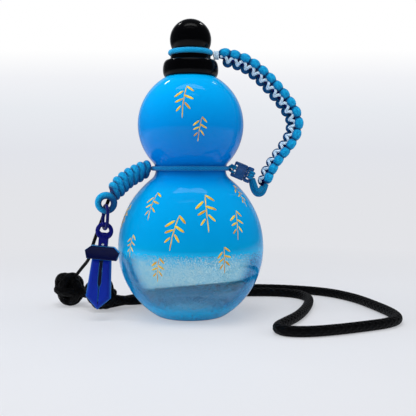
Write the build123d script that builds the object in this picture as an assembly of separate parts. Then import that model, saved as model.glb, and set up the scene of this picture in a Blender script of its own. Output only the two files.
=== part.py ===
from build123d import *
import math
import os

# Gourd water bottle: a double-bulb vessel with a screw cap, a woven cap tether with a
# small buckle, a knotted tassel that carries a sword charm, and a shoulder rope.
# Millimetres, +Z up, front towards -Y, origin at the centre of the foot on the table.

# Bottle bulbs: each bulb is two arcs that meet upright at its widest place
lower_radius = 50.9
lower_middle = 47.2
foot_radius = 24.0
lower_join_rise = 48.5
upper_radius = 36.7
upper_middle = 132.7
upper_join_drop = 25.3
neck_rise = 34.5
waist_radius = 24.5
waist_join_radius = 27.0
bottle_wall = 2.0
foot_band_height = 20.0

# Bottle foot: a flat ring round a stepped recess
foot_ring_width = 5.0
punt_step_width = 5.0
punt_step_height = 1.2
punt_height = 2.6
base_wall = 4.2

# Neck and quick two-start thread
neck_radius = 14.0
bore_radius = 12.0
neck_height = 6.2
thread_lead = 6.0
thread_starts = 2
thread_turn_share = 0.6
thread_depth = 1.0
thread_root_width = 1.3
thread_crest_width = 0.7
thread_sink = 0.3
thread_start_height = 1.3
thread_gap = 0.35

# Cap shell, sleeve, seal and knob
cap_clearance = 0.1
insert_wall = 1.5
seal_gap = 0.2
seal_thickness = 1.5
seal_hole_radius = 7.0
skirt_radius = 19.1
skirt_bottom_inset = 1.3
skirt_bulge_height = 2.4
skirt_gap = 0.4
skirt_shoulder_inset = 2.2
skirt_shoulder_height = 3.2
roof_thickness = 1.9
collar_radius = 13.9
collar_height = 3.1
stem_radius = 11.8
core_recess_radius = 7.4
core_recess_height = 2.8
ball_radius = 14.3
ball_wall = 2.0
spigot_radius = 8.5
spigot_bore_radius = 6.8
spigot_length = 4.0

# Tether: ring in the cap's groove, collar and woven strap
ring_cord_radius = 1.8
ring_gap = 0.25
ferrule_width = 3.6
ferrule_depth = 6.4
ferrule_height = 6.0
ferrule_edge = 1.0
ferrule_centre_drop = 1.6
strap_core_radius = 1.8
knot_count = 17
knot_width = 12.0
knot_length = 6.2
knot_thickness = 6.0
knot_edge = 1.2
core_hole_gap = 0.5
bar_width = 4.6
bar_length = 5.0
bar_thickness = 0.9
bar_edge = 0.4
strap_turn = 62.0
strap_turn_start_share = 0.5
strap_turn_span_share = 0.3

# Buckle, tilted down to the right
buckle_side_reach = 11.0
buckle_x = waist_radius + buckle_side_reach
buckle_y = -3.0
buckle_z = 100.1
buckle_tilt = 23.0
buckle_width = 10.4
buckle_thickness = 6.2
buckle_wall = 1.1
buckle_corner = 0.8
socket_length = 9.2
socket_depth = 6.2
socket_slot_length = 1.5
socket_bar = 1.0
socket_share = 0.72
tongue_length = 4.4
tongue_slot_length = 2.0
tongue_bar = 1.1
slot_margin = 2.0
mouth_gap = 0.3
plug_gap = 0.3
latch_length = 5.6
latch_width = 1.4
guide_width = 1.8
window_length = 2.4
window_margin = 1.6

# Cord loops at the buckle
end_loop_radius = 1.7
end_loop_spacing = 3.6
tie_radius = 1.1

# Waist cord: a ring that is open at the buckle, where its two ends run out to the socket
waist_cord_radius = 1.6
waist_cord_gap = 0.25
waist_cord_rise = 1.05
waist_cord_start_angle = 10.0
waist_cord_turn_angle = 332.0
waist_height = (lower_middle + lower_join_rise + upper_middle - upper_join_drop) / 2
waist_cord_height = waist_height + waist_cord_rise

# Tassel
tassel_core_radius = 1.9
tassel_knot_count = 7
tassel_knot_radius = 6.0
tassel_knot_length = 5.3
tassel_knot_edge = 2.2
tassel_end_gap = 0.8
tassel_hole_gap = 0.25
tassel_root_gap = 0.72
tassel_root_rise = 0.2
tassel_root_angle = 189.2
tassel_sag_shares = ((0.43, 0.35, 0.24), (0.81, 0.71, 0.66))
eye_side_reach = 4.9
eye_x = -(lower_radius + eye_side_reach)
eye_y = -24.0
eye_z = 79.7
eye_ring_radius = 5.4
eye_cord_radius = 2.0
eye_entry = (3.6, 2.6, 5.7)

# Sword charm, hung from its pommel
charm_side_step = 1.3
charm_drop = 18.8
charm_x = eye_x - charm_side_step
charm_z = eye_z - charm_drop
charm_tilt = 5.7
pommel_ring_radius = 4.6
pommel_rim_radius = 1.4
grip_width = 6.2
grip_top = 5.2
hilt_thickness = 5.0
grip_thickness = 4.0
hilt_edge = 0.6
guard_top = 10.1
guard_top_half = 7.5
guard_tip_half = 11.6
guard_tip_drop = 3.5
guard_bottom_half = 10.1
guard_height = 9.0
blade_top_half = 6.6
blade_belly_half = 8.45
blade_belly_drop = 25.5
blade_length = 34.0
blade_thickness = 4.0
blade_bevel_depth = 1.3
blade_bevel_width = 2.4
blade_seat_gap = 0.1
tang_width = 3.0
tang_thickness = 1.6
tang_gap = 0.1
tang_top = 6.9
pin_drop = 8.7
pin_radius = 0.9
pin_gap = 0.05
pin_proud = 0.2

# Thin loop between the eye and the pommel ring
link_cord_radius = 1.1
link_half_width = 5.4
link_rim_gap = 0.6
link_turn = 66.0

# Shoulder rope, knots and lanyard
rope_radius = 3.4
floor_gap = 0.1
lanyard_radius = 1.2
inner_knot_x = -65.4
inner_knot_y = 12.5
inner_knot_radius = 12.5
outer_knot_x = -91.5
outer_knot_y = 30.0
outer_knot_radius = 13.0
knot_core_share = 0.7
knot_turns = ((20, 0), (78, 35), (96, 110))

overrun = 1.0
bend_share = 0.45

# Cord routes: points chosen along each cord's real line
strap_route = [
    (20.1, 0, 180.4), (33.0, 0, 177.5), (41.4, 0, 173.4), (49.8, 0, 166.5), (58.2, 0, 157.6),
    (65.9, 0, 148.6), (71.5, 0, 139.7), (72.9, 0, 132.8), (70.8, 0, 125.1), (66.6, 0, 118.2),
    (60.3, 0, 110.5), (buckle_x + 19.9, 0, 102.9), (buckle_x + 16.5, 0, 96.0), (buckle_x + 14.8, 0, 90.8),
]
end_loop_route = [
    (buckle_x + 14.4, -0.6, 89.8), (buckle_x + 13.3, -1.3, 87.0), (buckle_x + 10.5, -2.2, 87.0),
    (buckle_x + 9.0, -2.8, 91.0), (buckle_x + 7.7, -3.0, 95.4),
]
front_tie_route = [(waist_radius + 0.6, -8.0, 102.6), (waist_radius + 1.5, -5.2, 102.8),
                   (waist_radius + 4.7, -4.4, 104.9)]
back_tie_route = [(waist_radius + 1.5, 4.5, 102.6), (waist_radius + 2.2, 0.4, 102.4),
                  (waist_radius + 3.2, -1.0, 101.3)]
lanyard_route = [
    (-86.0, 24.3, 23.0), (-80.0, 14.5, 30.0), (-71.8, 2.0, 38.5), (-67.6, -9.0, 49.5),
    (-65.4, -14.6, 60.5), (-61.6, -16.4, 70.5), (-57.0, -16.7, 78.4), (-54.0, -17.6, 83.4),
]
rope_height = rope_radius + floor_gap
rope_plan = [
    (-61, 18.5), (-47, 36), (-27, 56), (2, 72), (32, 83), (60, 84), (87, 77), (110, 64),
    (125, 40), (133, 12), (138.5, -12), (138.5, -32), (129, -44), (110, -54), (89, -63.5),
    (71, -68.5), (58, -66), (54.5, -56.5), (61, -44), (71, -27), (79.5, -5), (86, 19),
    (89.5, 40), (84, 57), (68, 65.5), (44, 66), (14, 63), (-14, 50), (-35, 34),
]
rope_route = [(x, y, rope_height) for x, y in rope_plan] + [(-49, 20, 5.2), (-57, 10.5, 8.6)]
knot_link_route = [(-74.8, 18.6, 11.0), (-78.4, 22.2, 10.2), (-81.8, 23.4, 11.2)]

os.makedirs("parts", exist_ok=True)


def save(name, *shapes):
    solids = [solid for shape in shapes for solid in shape.solids()]
    shape = solids[0] if len(solids) == 1 else Compound(children=solids)
    export_step(shape, f"parts/{name}.step")


def moved(shape, x, y, z):
    return Pos(x, y, z) * shape


def bend_radii(points):
    # each bend takes 0.45 of its shorter run, so that the cord is one easy line
    radii = []
    for before, here, after in zip(points, points[1:], points[2:]):
        arriving = Vector(*here) - Vector(*before)
        leaving = Vector(*after) - Vector(*here)
        half_turn = math.radians(arriving.get_angle(leaving)) / 2
        radii.append(bend_share * min(arriving.length, leaving.length) / math.tan(half_turn))
    return radii


def cord_line(points):
    return FilletPolyline(*points, radius=bend_radii(points))


def tube(line, radius):
    start = Plane(origin=line @ 0, z_dir=line % 0)
    return sweep(start * Circle(radius), path=line)


def arc_through(side_radius, end_radius, end_rise):
    # centre and radius of an arc that is upright at the bulb's side and ends at this place
    centre = (side_radius ** 2 - end_radius ** 2 - end_rise ** 2) / (2 * (side_radius - end_radius))
    return centre, side_radius - centre


def upper_height(radius):
    # height on the upper bulb's outer skin above its middle, where it has this radius
    centre, arc_radius = arc_through(upper_radius, neck_radius, neck_rise)
    return upper_middle + math.sqrt(arc_radius ** 2 - (radius - centre) ** 2)


def skin_arc(middle, centre, arc_radius, low_rise, high_rise):
    places = [(centre + math.sqrt(arc_radius ** 2 - rise ** 2), middle + rise)
              for rise in (low_rise, (low_rise + high_rise) / 2, high_rise)]
    return ThreePointArc(*places)


def skin(inset, foot_rise, top_radius):
    # the vessel's skin from the foot to the neck, as edges in order
    under, under_radius = arc_through(lower_radius, foot_radius, lower_middle)
    shoulder, shoulder_radius = arc_through(lower_radius, waist_join_radius, lower_join_rise)
    belly, belly_radius = arc_through(upper_radius, waist_join_radius, upper_join_drop)
    crown, crown_radius = arc_through(upper_radius, neck_radius, neck_rise)
    top_rise = math.sqrt((crown_radius - inset) ** 2 - (top_radius - crown) ** 2)
    low = skin_arc(lower_middle, under, under_radius - inset, foot_rise - lower_middle, 0)
    low_top = skin_arc(lower_middle, shoulder, shoulder_radius - inset, 0, lower_join_rise)
    high = skin_arc(upper_middle, belly, belly_radius - inset, -upper_join_drop, 0)
    high_top = skin_arc(upper_middle, crown, crown_radius - inset, 0, top_rise)
    middle = (low_top @ 1 + high @ 0) / 2
    waist = ThreePointArc(low_top @ 1, (waist_radius - inset, middle.Y), high @ 0)
    return [low, low_top, waist, high, high_top]


def make_vessel():
    # one blown wall, given as bands that meet face to face
    neck_root = upper_height(neck_radius)
    neck_top = neck_root + neck_height
    floor_height = punt_height + base_wall
    outer = skin(0, 0, neck_radius)
    inner = skin(bottle_wall, floor_height, bore_radius)
    foot = outer[0] @ 0
    ring_inner = foot.X - foot_ring_width
    step_inner = ring_inner - punt_step_width
    rim = Polyline(outer[-1] @ 1, (neck_radius, neck_top), (bore_radius, neck_top), inner[-1] @ 1)
    base = Polyline(inner[0] @ 0, (0, floor_height), (0, punt_height), (step_inner, punt_height),
                    (step_inner, punt_step_height), (ring_inner, punt_step_height),
                    (ring_inner, 0), foot)
    wall = make_face(outer + [rim] + inner + [base])
    levels = (0, foot_band_height, lower_middle, waist_height, upper_middle, neck_root, neck_top)
    bands = []
    for low, high in zip(levels, levels[1:]):
        strip = Pos(0, low) * Rectangle(lower_radius + overrun, high - low, align=(Align.MIN, Align.MIN))
        bands.append(revolve(Plane.XZ * (wall & strip), Axis.Z))
    bands[-1] += thread_ridges(neck_radius, 1, 0)
    return bands


def thread_ridges(radius, outward, turn):
    # outward is 1 for ridges on the neck and -1 for ridges inside the cap's sleeve
    start_height = upper_height(neck_radius) + thread_start_height
    spiral = Helix(thread_lead, thread_lead * thread_turn_share, radius)
    root = radius - outward * thread_sink
    crest = radius + outward * thread_depth
    section = Plane.XZ * make_face(Polyline(
        (root, -thread_root_width / 2), (crest, -thread_crest_width / 2),
        (crest, thread_crest_width / 2), (root, thread_root_width / 2), close=True))
    ridge = sweep(section, path=spiral, is_frenet=True)
    ridges = [Pos(0, 0, start_height) * Rot(0, 0, turn + index * 360 / thread_starts) * ridge
              for index in range(thread_starts)]
    return Part() + ridges


def cap_levels():
    neck_top = upper_height(neck_radius) + neck_height
    levels = {}
    levels["neck_top"] = neck_top
    levels["seal_bottom"] = neck_top + seal_gap
    levels["ceiling"] = levels["seal_bottom"] + seal_thickness + cap_clearance
    levels["skirt_top"] = levels["ceiling"] + roof_thickness
    levels["collar_top"] = levels["skirt_top"] + collar_height
    levels["ball_seat"] = levels["collar_top"] + ring_cord_radius * 2 + ring_gap * 2
    levels["ring"] = levels["collar_top"] + ring_cord_radius + ring_gap
    levels["ball"] = levels["ball_seat"] + math.sqrt(
        ball_radius ** 2 - (stem_radius + ring_gap * 3) ** 2)
    return levels


def insert_bore():
    return neck_radius + thread_depth + thread_gap


def make_cap_shell():
    level = cap_levels()
    shoulder = level["skirt_top"] - skirt_shoulder_height
    inner = insert_bore() + insert_wall + cap_clearance
    low_radius = skirt_radius - skirt_bottom_inset
    blind = level["ball_seat"] - spigot_length - cap_clearance
    skirt_bottom = (low_radius, upper_height(low_radius) + skirt_gap)
    bulge = (skirt_radius, skirt_bottom[1] + skirt_bulge_height)
    top_edge = (skirt_radius - skirt_shoulder_inset, level["skirt_top"])
    skirt_curve = Spline(skirt_bottom, bulge, (skirt_radius, shoulder), top_edge)
    outline = make_face([
        skirt_curve,
        Polyline(top_edge, (collar_radius, level["skirt_top"]), (collar_radius, level["collar_top"]),
                 (stem_radius, level["collar_top"]), (stem_radius, level["ball_seat"]),
                 (spigot_radius + cap_clearance, level["ball_seat"]),
                 (spigot_radius + cap_clearance, blind), (0, blind),
                 (0, level["ceiling"] + core_recess_height),
                 (core_recess_radius, level["ceiling"] + core_recess_height),
                 (core_recess_radius, level["ceiling"]), (inner, level["ceiling"]),
                 (inner, upper_height(inner) + skirt_gap), skirt_bottom),
    ])
    return revolve(Plane.XZ * outline, Axis.Z)


def make_insert():
    level = cap_levels()
    bore = insert_bore()
    bottom = upper_height(bore) + skirt_gap
    top = level["seal_bottom"] - cap_clearance
    ring = Pos(bore, bottom) * Rectangle(insert_wall, top - bottom, align=(Align.MIN, Align.MIN))
    sleeve = revolve(Plane.XZ * ring, Axis.Z)
    quarter_of_starts = 360 / thread_starts / 2
    return sleeve + thread_ridges(bore, -1, quarter_of_starts)


def make_seal():
    level = cap_levels()
    outer = insert_bore() + insert_wall
    ring = Pos(seal_hole_radius, level["seal_bottom"]) * Rectangle(
        outer - seal_hole_radius, seal_thickness, align=(Align.MIN, Align.MIN))
    return revolve(Plane.XZ * ring, Axis.Z)


def make_ball():
    level = cap_levels()
    half = Rectangle(ball_radius * 2, ball_radius * 4, align=(Align.MIN, Align.CENTER))
    above_seat = Pos(0, level["ball_seat"]) * Rectangle(
        ball_radius * 2, ball_radius * 2, align=(Align.MIN, Align.MIN))
    above_wall = Pos(0, level["ball_seat"] + ball_wall) * Rectangle(
        ball_radius * 2, ball_radius * 2, align=(Align.MIN, Align.MIN))
    middle = Pos(0, level["ball"])
    solid_ball = (middle * Circle(ball_radius) & above_seat) & middle * half
    hollow = (middle * Circle(ball_radius - ball_wall) & above_wall) & middle * half
    spigot = Pos(0, level["ball_seat"] - spigot_length) * Rectangle(
        spigot_radius, spigot_length + ball_wall, align=(Align.MIN, Align.MIN))
    bore = Pos(0, level["ball_seat"] - spigot_length) * Rectangle(
        spigot_bore_radius, spigot_length + ball_wall * 2, align=(Align.MIN, Align.MIN))
    return revolve(Plane.XZ * (solid_ball + spigot - hollow - bore), Axis.Z)


def make_tether_ring():
    ring_radius = stem_radius + ring_gap + ring_cord_radius
    return moved(Torus(ring_radius, ring_cord_radius), 0, 0, cap_levels()["ring"])


def make_ferrule():
    ring_outer = stem_radius + ring_gap + ring_cord_radius * 2
    band = Box(ferrule_width, ferrule_depth, ferrule_height)
    band = fillet(band.edges().filter_by(Axis.X), ferrule_edge)
    left = ring_outer + ring_gap
    return moved(band, left + ferrule_width / 2, 0, cap_levels()["ring"] - ferrule_centre_drop)


def strap_frames(line):
    # one frame for each knot of the weave: z along the cord, x across the weave's width
    frames = []
    for index in range(knot_count):
        along = (index + 0.5) / knot_count
        tangent = line % along
        across = Vector(-tangent.Z, 0, tangent.X)
        turned = min(max((along - strap_turn_start_share) / strap_turn_span_share, 0), 1)
        twist = math.radians(strap_turn) * turned
        across = across * math.cos(twist) + tangent.cross(across) * math.sin(twist)
        frames.append(Plane(origin=line @ along, x_dir=across, z_dir=tangent))
    return frames


def make_strap():
    line = cord_line(strap_route)
    core = tube(line, strap_core_radius)
    body = extrude(Plane.XZ * SlotOverall(knot_width, knot_length), knot_thickness / 2, both=True)
    body = fillet(body.edges(), knot_edge)
    body = body - Cylinder(strap_core_radius + core_hole_gap, knot_length * 2)
    pad = Box(bar_width, bar_thickness, bar_length)
    pad = fillet(pad.edges(), bar_edge)
    pad_offset = (knot_thickness + bar_thickness) / 2
    pads = [moved(pad, 0, side * pad_offset, 0) for side in (-1, 1)]
    frames = strap_frames(line)
    knots = [frame.location * body for frame in frames]
    bars = [frame.location * one for frame in frames for one in pads]
    return core, knots, bars


def make_end_loop():
    strands = []
    for side in (-1, 1):
        offset = side * end_loop_spacing / 2
        points = [(x, y + offset, z) for x, y, z in end_loop_route]
        strands.append(tube(cord_line(points), end_loop_radius))
    return strands


def buckle_place():
    return Pos(buckle_x, buckle_y, buckle_z) * Rot(0, buckle_tilt, 0)


def make_socket():
    mouth = socket_length * (1 - socket_share)
    left = mouth - socket_length
    block = Box(socket_length, buckle_thickness, buckle_width, align=(Align.MIN, Align.CENTER, Align.CENTER))
    block = fillet(block.edges(), buckle_corner)
    pocket = Box(socket_depth + overrun, buckle_thickness - buckle_wall * 2,
                 buckle_width - buckle_wall * 2, align=(Align.MAX, Align.CENTER, Align.CENTER))
    slot = Box(socket_slot_length, buckle_thickness + overrun, buckle_width - slot_margin * 2,
               align=(Align.MIN, Align.CENTER, Align.CENTER))
    window = Box(window_length, buckle_thickness - buckle_wall * 2, buckle_width + overrun,
                 align=(Align.CENTER, Align.CENTER, Align.CENTER))
    body = block - moved(pocket, socket_length + overrun, 0, 0) - moved(slot, socket_bar, 0, 0)
    body = body - moved(window, socket_length - socket_depth + window_length / 2 + window_margin, 0, 0)
    return buckle_place() * moved(body, left, 0, 0)


def make_tongue():
    mouth = socket_length * (1 - socket_share)
    head = Box(tongue_length, buckle_thickness, buckle_width, align=(Align.MIN, Align.CENTER, Align.CENTER))
    head = fillet(head.edges(), buckle_corner)
    slot = Box(tongue_slot_length, buckle_thickness + overrun, buckle_width - slot_margin * 2,
               align=(Align.MAX, Align.CENTER, Align.CENTER))
    head = head - moved(slot, tongue_length - tongue_bar, 0, 0)
    arm_height = buckle_thickness - (buckle_wall + plug_gap) * 2
    arm_reach = latch_length + mouth_gap + buckle_corner
    arm = Box(arm_reach, arm_height, latch_width, align=(Align.MAX, Align.CENTER, Align.CENTER))
    guide = Box(arm_reach, arm_height, guide_width, align=(Align.MAX, Align.CENTER, Align.CENTER))
    side = buckle_width / 2 - buckle_wall - plug_gap - latch_width / 2
    arms = [moved(arm, buckle_corner, 0, place) for place in (-side, side)]
    plug = head + arms + moved(guide, buckle_corner, 0, 0)
    return buckle_place() * moved(plug, mouth + mouth_gap, 0, 0)


def make_waist_tie():
    # the ends of the waist cord, which run out to the bar of the buckle's socket
    return [tube(cord_line(route), tie_radius) for route in (front_tie_route, back_tie_route)]


def make_waist_cord():
    ring = waist_radius + waist_cord_gap + waist_cord_radius
    arc = CenterArc((0, 0, 0), ring, waist_cord_start_angle, waist_cord_turn_angle)
    return moved(tube(arc, waist_cord_radius), 0, 0, waist_cord_height)


def tassel_route():
    # from the waist cord's left side down to the eye, sagging a little
    root_radius = waist_radius + waist_cord_gap + waist_cord_radius * 2 + tassel_root_gap
    angle = math.radians(tassel_root_angle)
    root = (root_radius * math.cos(angle), root_radius * math.sin(angle),
            waist_cord_height + tassel_root_rise)
    end = (eye_x + eye_entry[0], eye_y + eye_entry[1], eye_z + eye_entry[2])
    between = [tuple(a + (b - a) * share for a, b, share in zip(root, end, shares))
               for shares in tassel_sag_shares]
    return [root, *between, end]


def make_tassel():
    line = cord_line(tassel_route())
    core = tube(line, tassel_core_radius)
    turn = Cylinder(tassel_knot_radius, tassel_knot_length)
    turn = fillet(turn.edges(), tassel_knot_edge)
    turn = turn - Cylinder(tassel_core_radius + tassel_hole_gap, tassel_knot_length * 2)
    usable = line.length - tassel_end_gap * 2 - tassel_knot_length
    turns = []
    for index in range(tassel_knot_count):
        distance = tassel_end_gap + tassel_knot_length / 2 + usable * index / (tassel_knot_count - 1)
        along = distance / line.length
        turns.append(Plane(origin=line @ along, z_dir=line % along).location * turn)
    return core, turns


def make_eye():
    return moved(Rot(90, 0, 0) * Torus(eye_ring_radius, eye_cord_radius), eye_x, eye_y, eye_z)


def charm_place():
    return Pos(charm_x, eye_y, charm_z) * Rot(0, charm_tilt, 0)


def make_hilt():
    pommel = Rot(90, 0, 0) * Torus(pommel_ring_radius, pommel_rim_radius)
    grip = Pos(0, 0, -(grip_top + guard_top) / 2) * Box(
        grip_width, grip_thickness, guard_top - grip_top + hilt_edge * 2)
    tip_drop = guard_top + guard_tip_drop
    bottom = guard_top + guard_height
    outline = Polyline((-guard_top_half, -guard_top), (guard_top_half, -guard_top),
                       (guard_tip_half, -tip_drop), (guard_bottom_half, -bottom),
                       (-guard_bottom_half, -bottom), (-guard_tip_half, -tip_drop), close=True)
    guard = extrude(Plane.XZ * make_face(outline), hilt_thickness / 2, both=True)
    guard = chamfer(guard.edges().filter_by(Axis.Y, reverse=True), hilt_edge)
    seat = tang_top - tang_gap
    slot = Pos(0, 0, -seat) * Box(tang_width + tang_gap * 2, tang_thickness + tang_gap * 2,
                                  bottom - seat + overrun, align=(Align.CENTER, Align.CENTER, Align.MAX))
    hole = Pos(0, 0, -pin_drop) * Rot(90, 0, 0) * Cylinder(pin_radius + pin_gap, hilt_thickness * 2)
    return charm_place() * (pommel + grip + guard - slot - hole)


def make_blade():
    top = guard_top + guard_height + blade_seat_gap
    outline = Polyline((-blade_top_half, -top), (blade_top_half, -top),
                       (blade_belly_half, -top - blade_belly_drop), (0, -top - blade_length),
                       (-blade_belly_half, -top - blade_belly_drop), close=True)
    blade = extrude(Plane.XZ * make_face(outline), blade_thickness / 2, both=True)
    for side in (0, -1):
        face = blade.faces().sort_by(Axis.Y)[side]
        edges = [edge for edge in face.edges() if edge.center().Z < -top - blade_seat_gap]
        blade = chamfer(edges, length=blade_bevel_width, length2=blade_bevel_depth, reference=face)
    tang = Pos(0, 0, -tang_top) * Box(tang_width, tang_thickness, top - tang_top + hilt_edge,
                                      align=(Align.CENTER, Align.CENTER, Align.MAX))
    hole = Pos(0, 0, -pin_drop) * Rot(90, 0, 0) * Cylinder(pin_radius + pin_gap, hilt_thickness * 2)
    return charm_place() * (blade + tang - hole)


def make_pin():
    length = grip_thickness + pin_proud * 2
    return charm_place() * (Pos(0, 0, -pin_drop) * Rot(90, 0, 0) * Cylinder(pin_radius, length))


def make_link():
    # a flat loop, turned so that its front strand shows beside its back one
    tilt = math.radians(charm_tilt)
    rim = Vector(charm_x + pommel_ring_radius * math.sin(tilt), eye_y,
                 charm_z + pommel_ring_radius * math.cos(tilt))
    eye = Vector(eye_x, eye_y, eye_z)
    lean = (rim - eye).normalized()
    wire = eye + lean * eye_ring_radius
    top_shift = link_half_width - eye_cord_radius - link_rim_gap - link_cord_radius
    low_shift = link_half_width - pommel_rim_radius - link_rim_gap - link_cord_radius
    straight = (rim - wire).length - top_shift - low_shift
    loop = SlotCenterToCenter(straight, link_half_width * 2)
    path = loop.face().outer_wire()
    start = Plane(origin=path @ 0, z_dir=path % 0)
    ring = sweep(start * Circle(link_cord_radius), path=path)
    middle = wire + lean * (top_shift + straight / 2)
    turn = math.radians(link_turn)
    side = Vector(math.cos(turn), -math.sin(turn), 0)
    side = (side - lean * side.dot(lean)).normalized()
    return Plane(origin=middle, x_dir=lean, z_dir=lean.cross(side)).location * ring


def make_rope_knot(x, y, radius):
    # three crossing turns of the rope round a tight middle
    turn_radius = radius - rope_radius
    knot = Sphere(radius - rope_radius * knot_core_share)
    for tilt, spin in knot_turns:
        knot += Rot(0, 0, spin) * Rot(tilt, 0, 0) * Torus(turn_radius, rope_radius)
    return moved(knot, x, y, radius + floor_gap)


vessel_names = ("vessel_foot", "vessel_lower_belly", "vessel_lower_shoulder",
                "vessel_upper_belly", "vessel_upper_shoulder", "vessel_neck")
for name, band in zip(vessel_names, make_vessel()):
    save(name, band)
save("cap_shell", make_cap_shell())
save("thread_insert", make_insert())
save("cap_seal", make_seal())
save("ball_knob", make_ball())
save("tether_ring", make_tether_ring())
save("tether_ferrule", make_ferrule())
strap_core, strap_knots, strap_bars = make_strap()
save("strap_core", strap_core)
save("strap_blue_weave", *strap_knots)
save("strap_white_weave", *strap_bars)
save("strap_end_loop", *make_end_loop())
save("buckle_socket", make_socket())
save("buckle_tongue", make_tongue())
save("waist_tie", *make_waist_tie())
save("waist_cord", make_waist_cord())
tassel_core, tassel_turns = make_tassel()
save("tassel_core", tassel_core)
save("tassel_knots", *tassel_turns)
save("tassel_eye", make_eye())
save("charm_link", make_link())
save("sword_hilt", make_hilt())
save("sword_blade", make_blade())
save("grip_pin", make_pin())
save("rope_knot_inner", make_rope_knot(inner_knot_x, inner_knot_y, inner_knot_radius))
save("rope_knot_outer", make_rope_knot(outer_knot_x, outer_knot_y, outer_knot_radius))

for name, route, radius in (("shoulder_rope", rope_route, rope_radius),
                            ("knot_link", knot_link_route, rope_radius),
                            ("lanyard_cord", lanyard_route, lanyard_radius)):
    line = cord_line(route)
    solid = tube(line, radius)
    expected = math.pi * radius ** 2 * line.length
    save(name, solid)
    print(name, "length", round(line.length, 1), "volume share", round(solid.volume / expected, 4),
          "least bend radius", round(min(bend_radii(route)), 1))
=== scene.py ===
import bpy, bmesh, math
from mathutils import Vector, Matrix, Quaternion, kdtree


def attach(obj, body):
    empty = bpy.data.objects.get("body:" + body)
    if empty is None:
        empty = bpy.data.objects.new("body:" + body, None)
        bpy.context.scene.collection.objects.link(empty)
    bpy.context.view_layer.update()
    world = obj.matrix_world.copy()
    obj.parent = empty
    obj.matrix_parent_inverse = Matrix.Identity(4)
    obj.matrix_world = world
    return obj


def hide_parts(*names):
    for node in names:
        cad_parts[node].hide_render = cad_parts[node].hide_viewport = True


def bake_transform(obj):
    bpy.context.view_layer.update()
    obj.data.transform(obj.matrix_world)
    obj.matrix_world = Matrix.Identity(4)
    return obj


# Gourd water bottle with its cap tether, knotted tassel, sword charm and shoulder rope.
# Metres, +Z up, front towards -Y, origin at the middle of the foot on the table.
# Lengths in the dictionaries are in millimetres and angles in degrees, where nothing else is said.

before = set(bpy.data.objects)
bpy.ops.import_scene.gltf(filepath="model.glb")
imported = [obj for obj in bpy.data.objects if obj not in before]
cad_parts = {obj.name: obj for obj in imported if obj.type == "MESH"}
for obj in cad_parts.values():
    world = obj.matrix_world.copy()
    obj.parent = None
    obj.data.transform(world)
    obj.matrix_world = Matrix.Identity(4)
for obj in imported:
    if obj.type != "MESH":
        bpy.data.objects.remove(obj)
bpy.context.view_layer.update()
mm = 0.001
scene = bpy.context.scene


# small helpers

def selectOnly(obj=None):
    if bpy.context.object and bpy.context.object.mode != "OBJECT":
        bpy.ops.object.mode_set(mode="OBJECT")
    bpy.ops.object.select_all(action="DESELECT")
    if obj:
        obj.select_set(True)
        bpy.context.view_layer.objects.active = obj


def freezePlace(obj):
    selectOnly(obj)
    bpy.ops.object.transform_apply(location=True, rotation=True, scale=True)


def applyModifier(obj, kind, **settings):
    selectOnly(obj)
    modifier = obj.modifiers.new(kind.lower(), kind)
    for key, value in settings.items():
        setattr(modifier, key, value)
    bpy.ops.object.modifier_apply(modifier=modifier.name)


def roundEdges(obj, width, segments=3, angle=30):
    applyModifier(obj, "BEVEL", width=width * mm, segments=segments, limit_method="ANGLE",
                  angle_limit=math.radians(angle))


def combine(obj, other, operation):
    applyModifier(obj, "BOOLEAN", object=other, operation=operation, solver="EXACT")
    bpy.data.objects.remove(other)


def smooth(obj, degrees=180):
    selectOnly(obj)
    if degrees >= 180:
        bpy.ops.object.shade_smooth()
    else:
        bpy.ops.object.shade_smooth_by_angle(angle=math.radians(degrees))


def setDown(obj, piece, degrees):
    # a finished piece leant over and brought to its place
    obj.rotation_euler = (0, math.radians(piece["tilt"]), 0)
    obj.location = at(piece["x"], piece["y"], piece["z"])
    freezePlace(obj)
    smooth(obj, degrees)
    return obj


def dress(obj, material, body, slot, *nodes):
    # every piece gets its material and its body, and the CAD nodes that it stands for are hidden
    obj.data.materials.clear()
    obj.data.materials.append(material)
    if body:
        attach(obj, body)
    if nodes:
        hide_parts(*nodes)
    return obj


def joinPieces(first, *others):
    selectOnly(first)
    for other in others:
        other.select_set(True)
    bpy.ops.object.join()
    return first


def at(x, y, z):
    return Vector((x, y, z)) * mm


def turnOf(count):
    # the angles of one full turn
    return [2 * math.pi * i / count for i in range(count)]


def block(name, low, high):
    # a primitive cube brought to its two corners
    selectOnly()
    bpy.ops.mesh.primitive_cube_add(size=1.0)
    obj = bpy.context.object
    obj.name = name
    obj.location = [(a + b) / 2 * mm for a, b in zip(low, high)]
    obj.scale = [(b - a) * mm for a, b in zip(low, high)]
    freezePlace(obj)
    return obj


def drawn(name, points, y=0.0):
    # a vertex at the first (x, z) point, extruded through the others; stays in edit mode
    selectOnly()
    bpy.ops.mesh.primitive_plane_add(size=0.1 * mm, location=at(points[0][0], y, points[0][1]))
    obj = bpy.context.object
    obj.name = name
    bpy.ops.object.mode_set(mode="EDIT")
    bpy.ops.mesh.select_mode(type="VERT")
    bpy.ops.mesh.select_all(action="SELECT")
    bpy.ops.mesh.merge(type="CENTER")
    for here, there in zip(points, points[1:]):
        step = ((there[0] - here[0]) * mm, 0, (there[1] - here[1]) * mm)
        bpy.ops.mesh.extrude_region_move(TRANSFORM_OT_translate={"value": step})
    bpy.ops.mesh.select_all(action="SELECT")
    return obj


def closeUp(obj):
    bpy.ops.mesh.normals_make_consistent(inside=False)
    bpy.ops.object.mode_set(mode="OBJECT")
    freezePlace(obj)
    return obj


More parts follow.
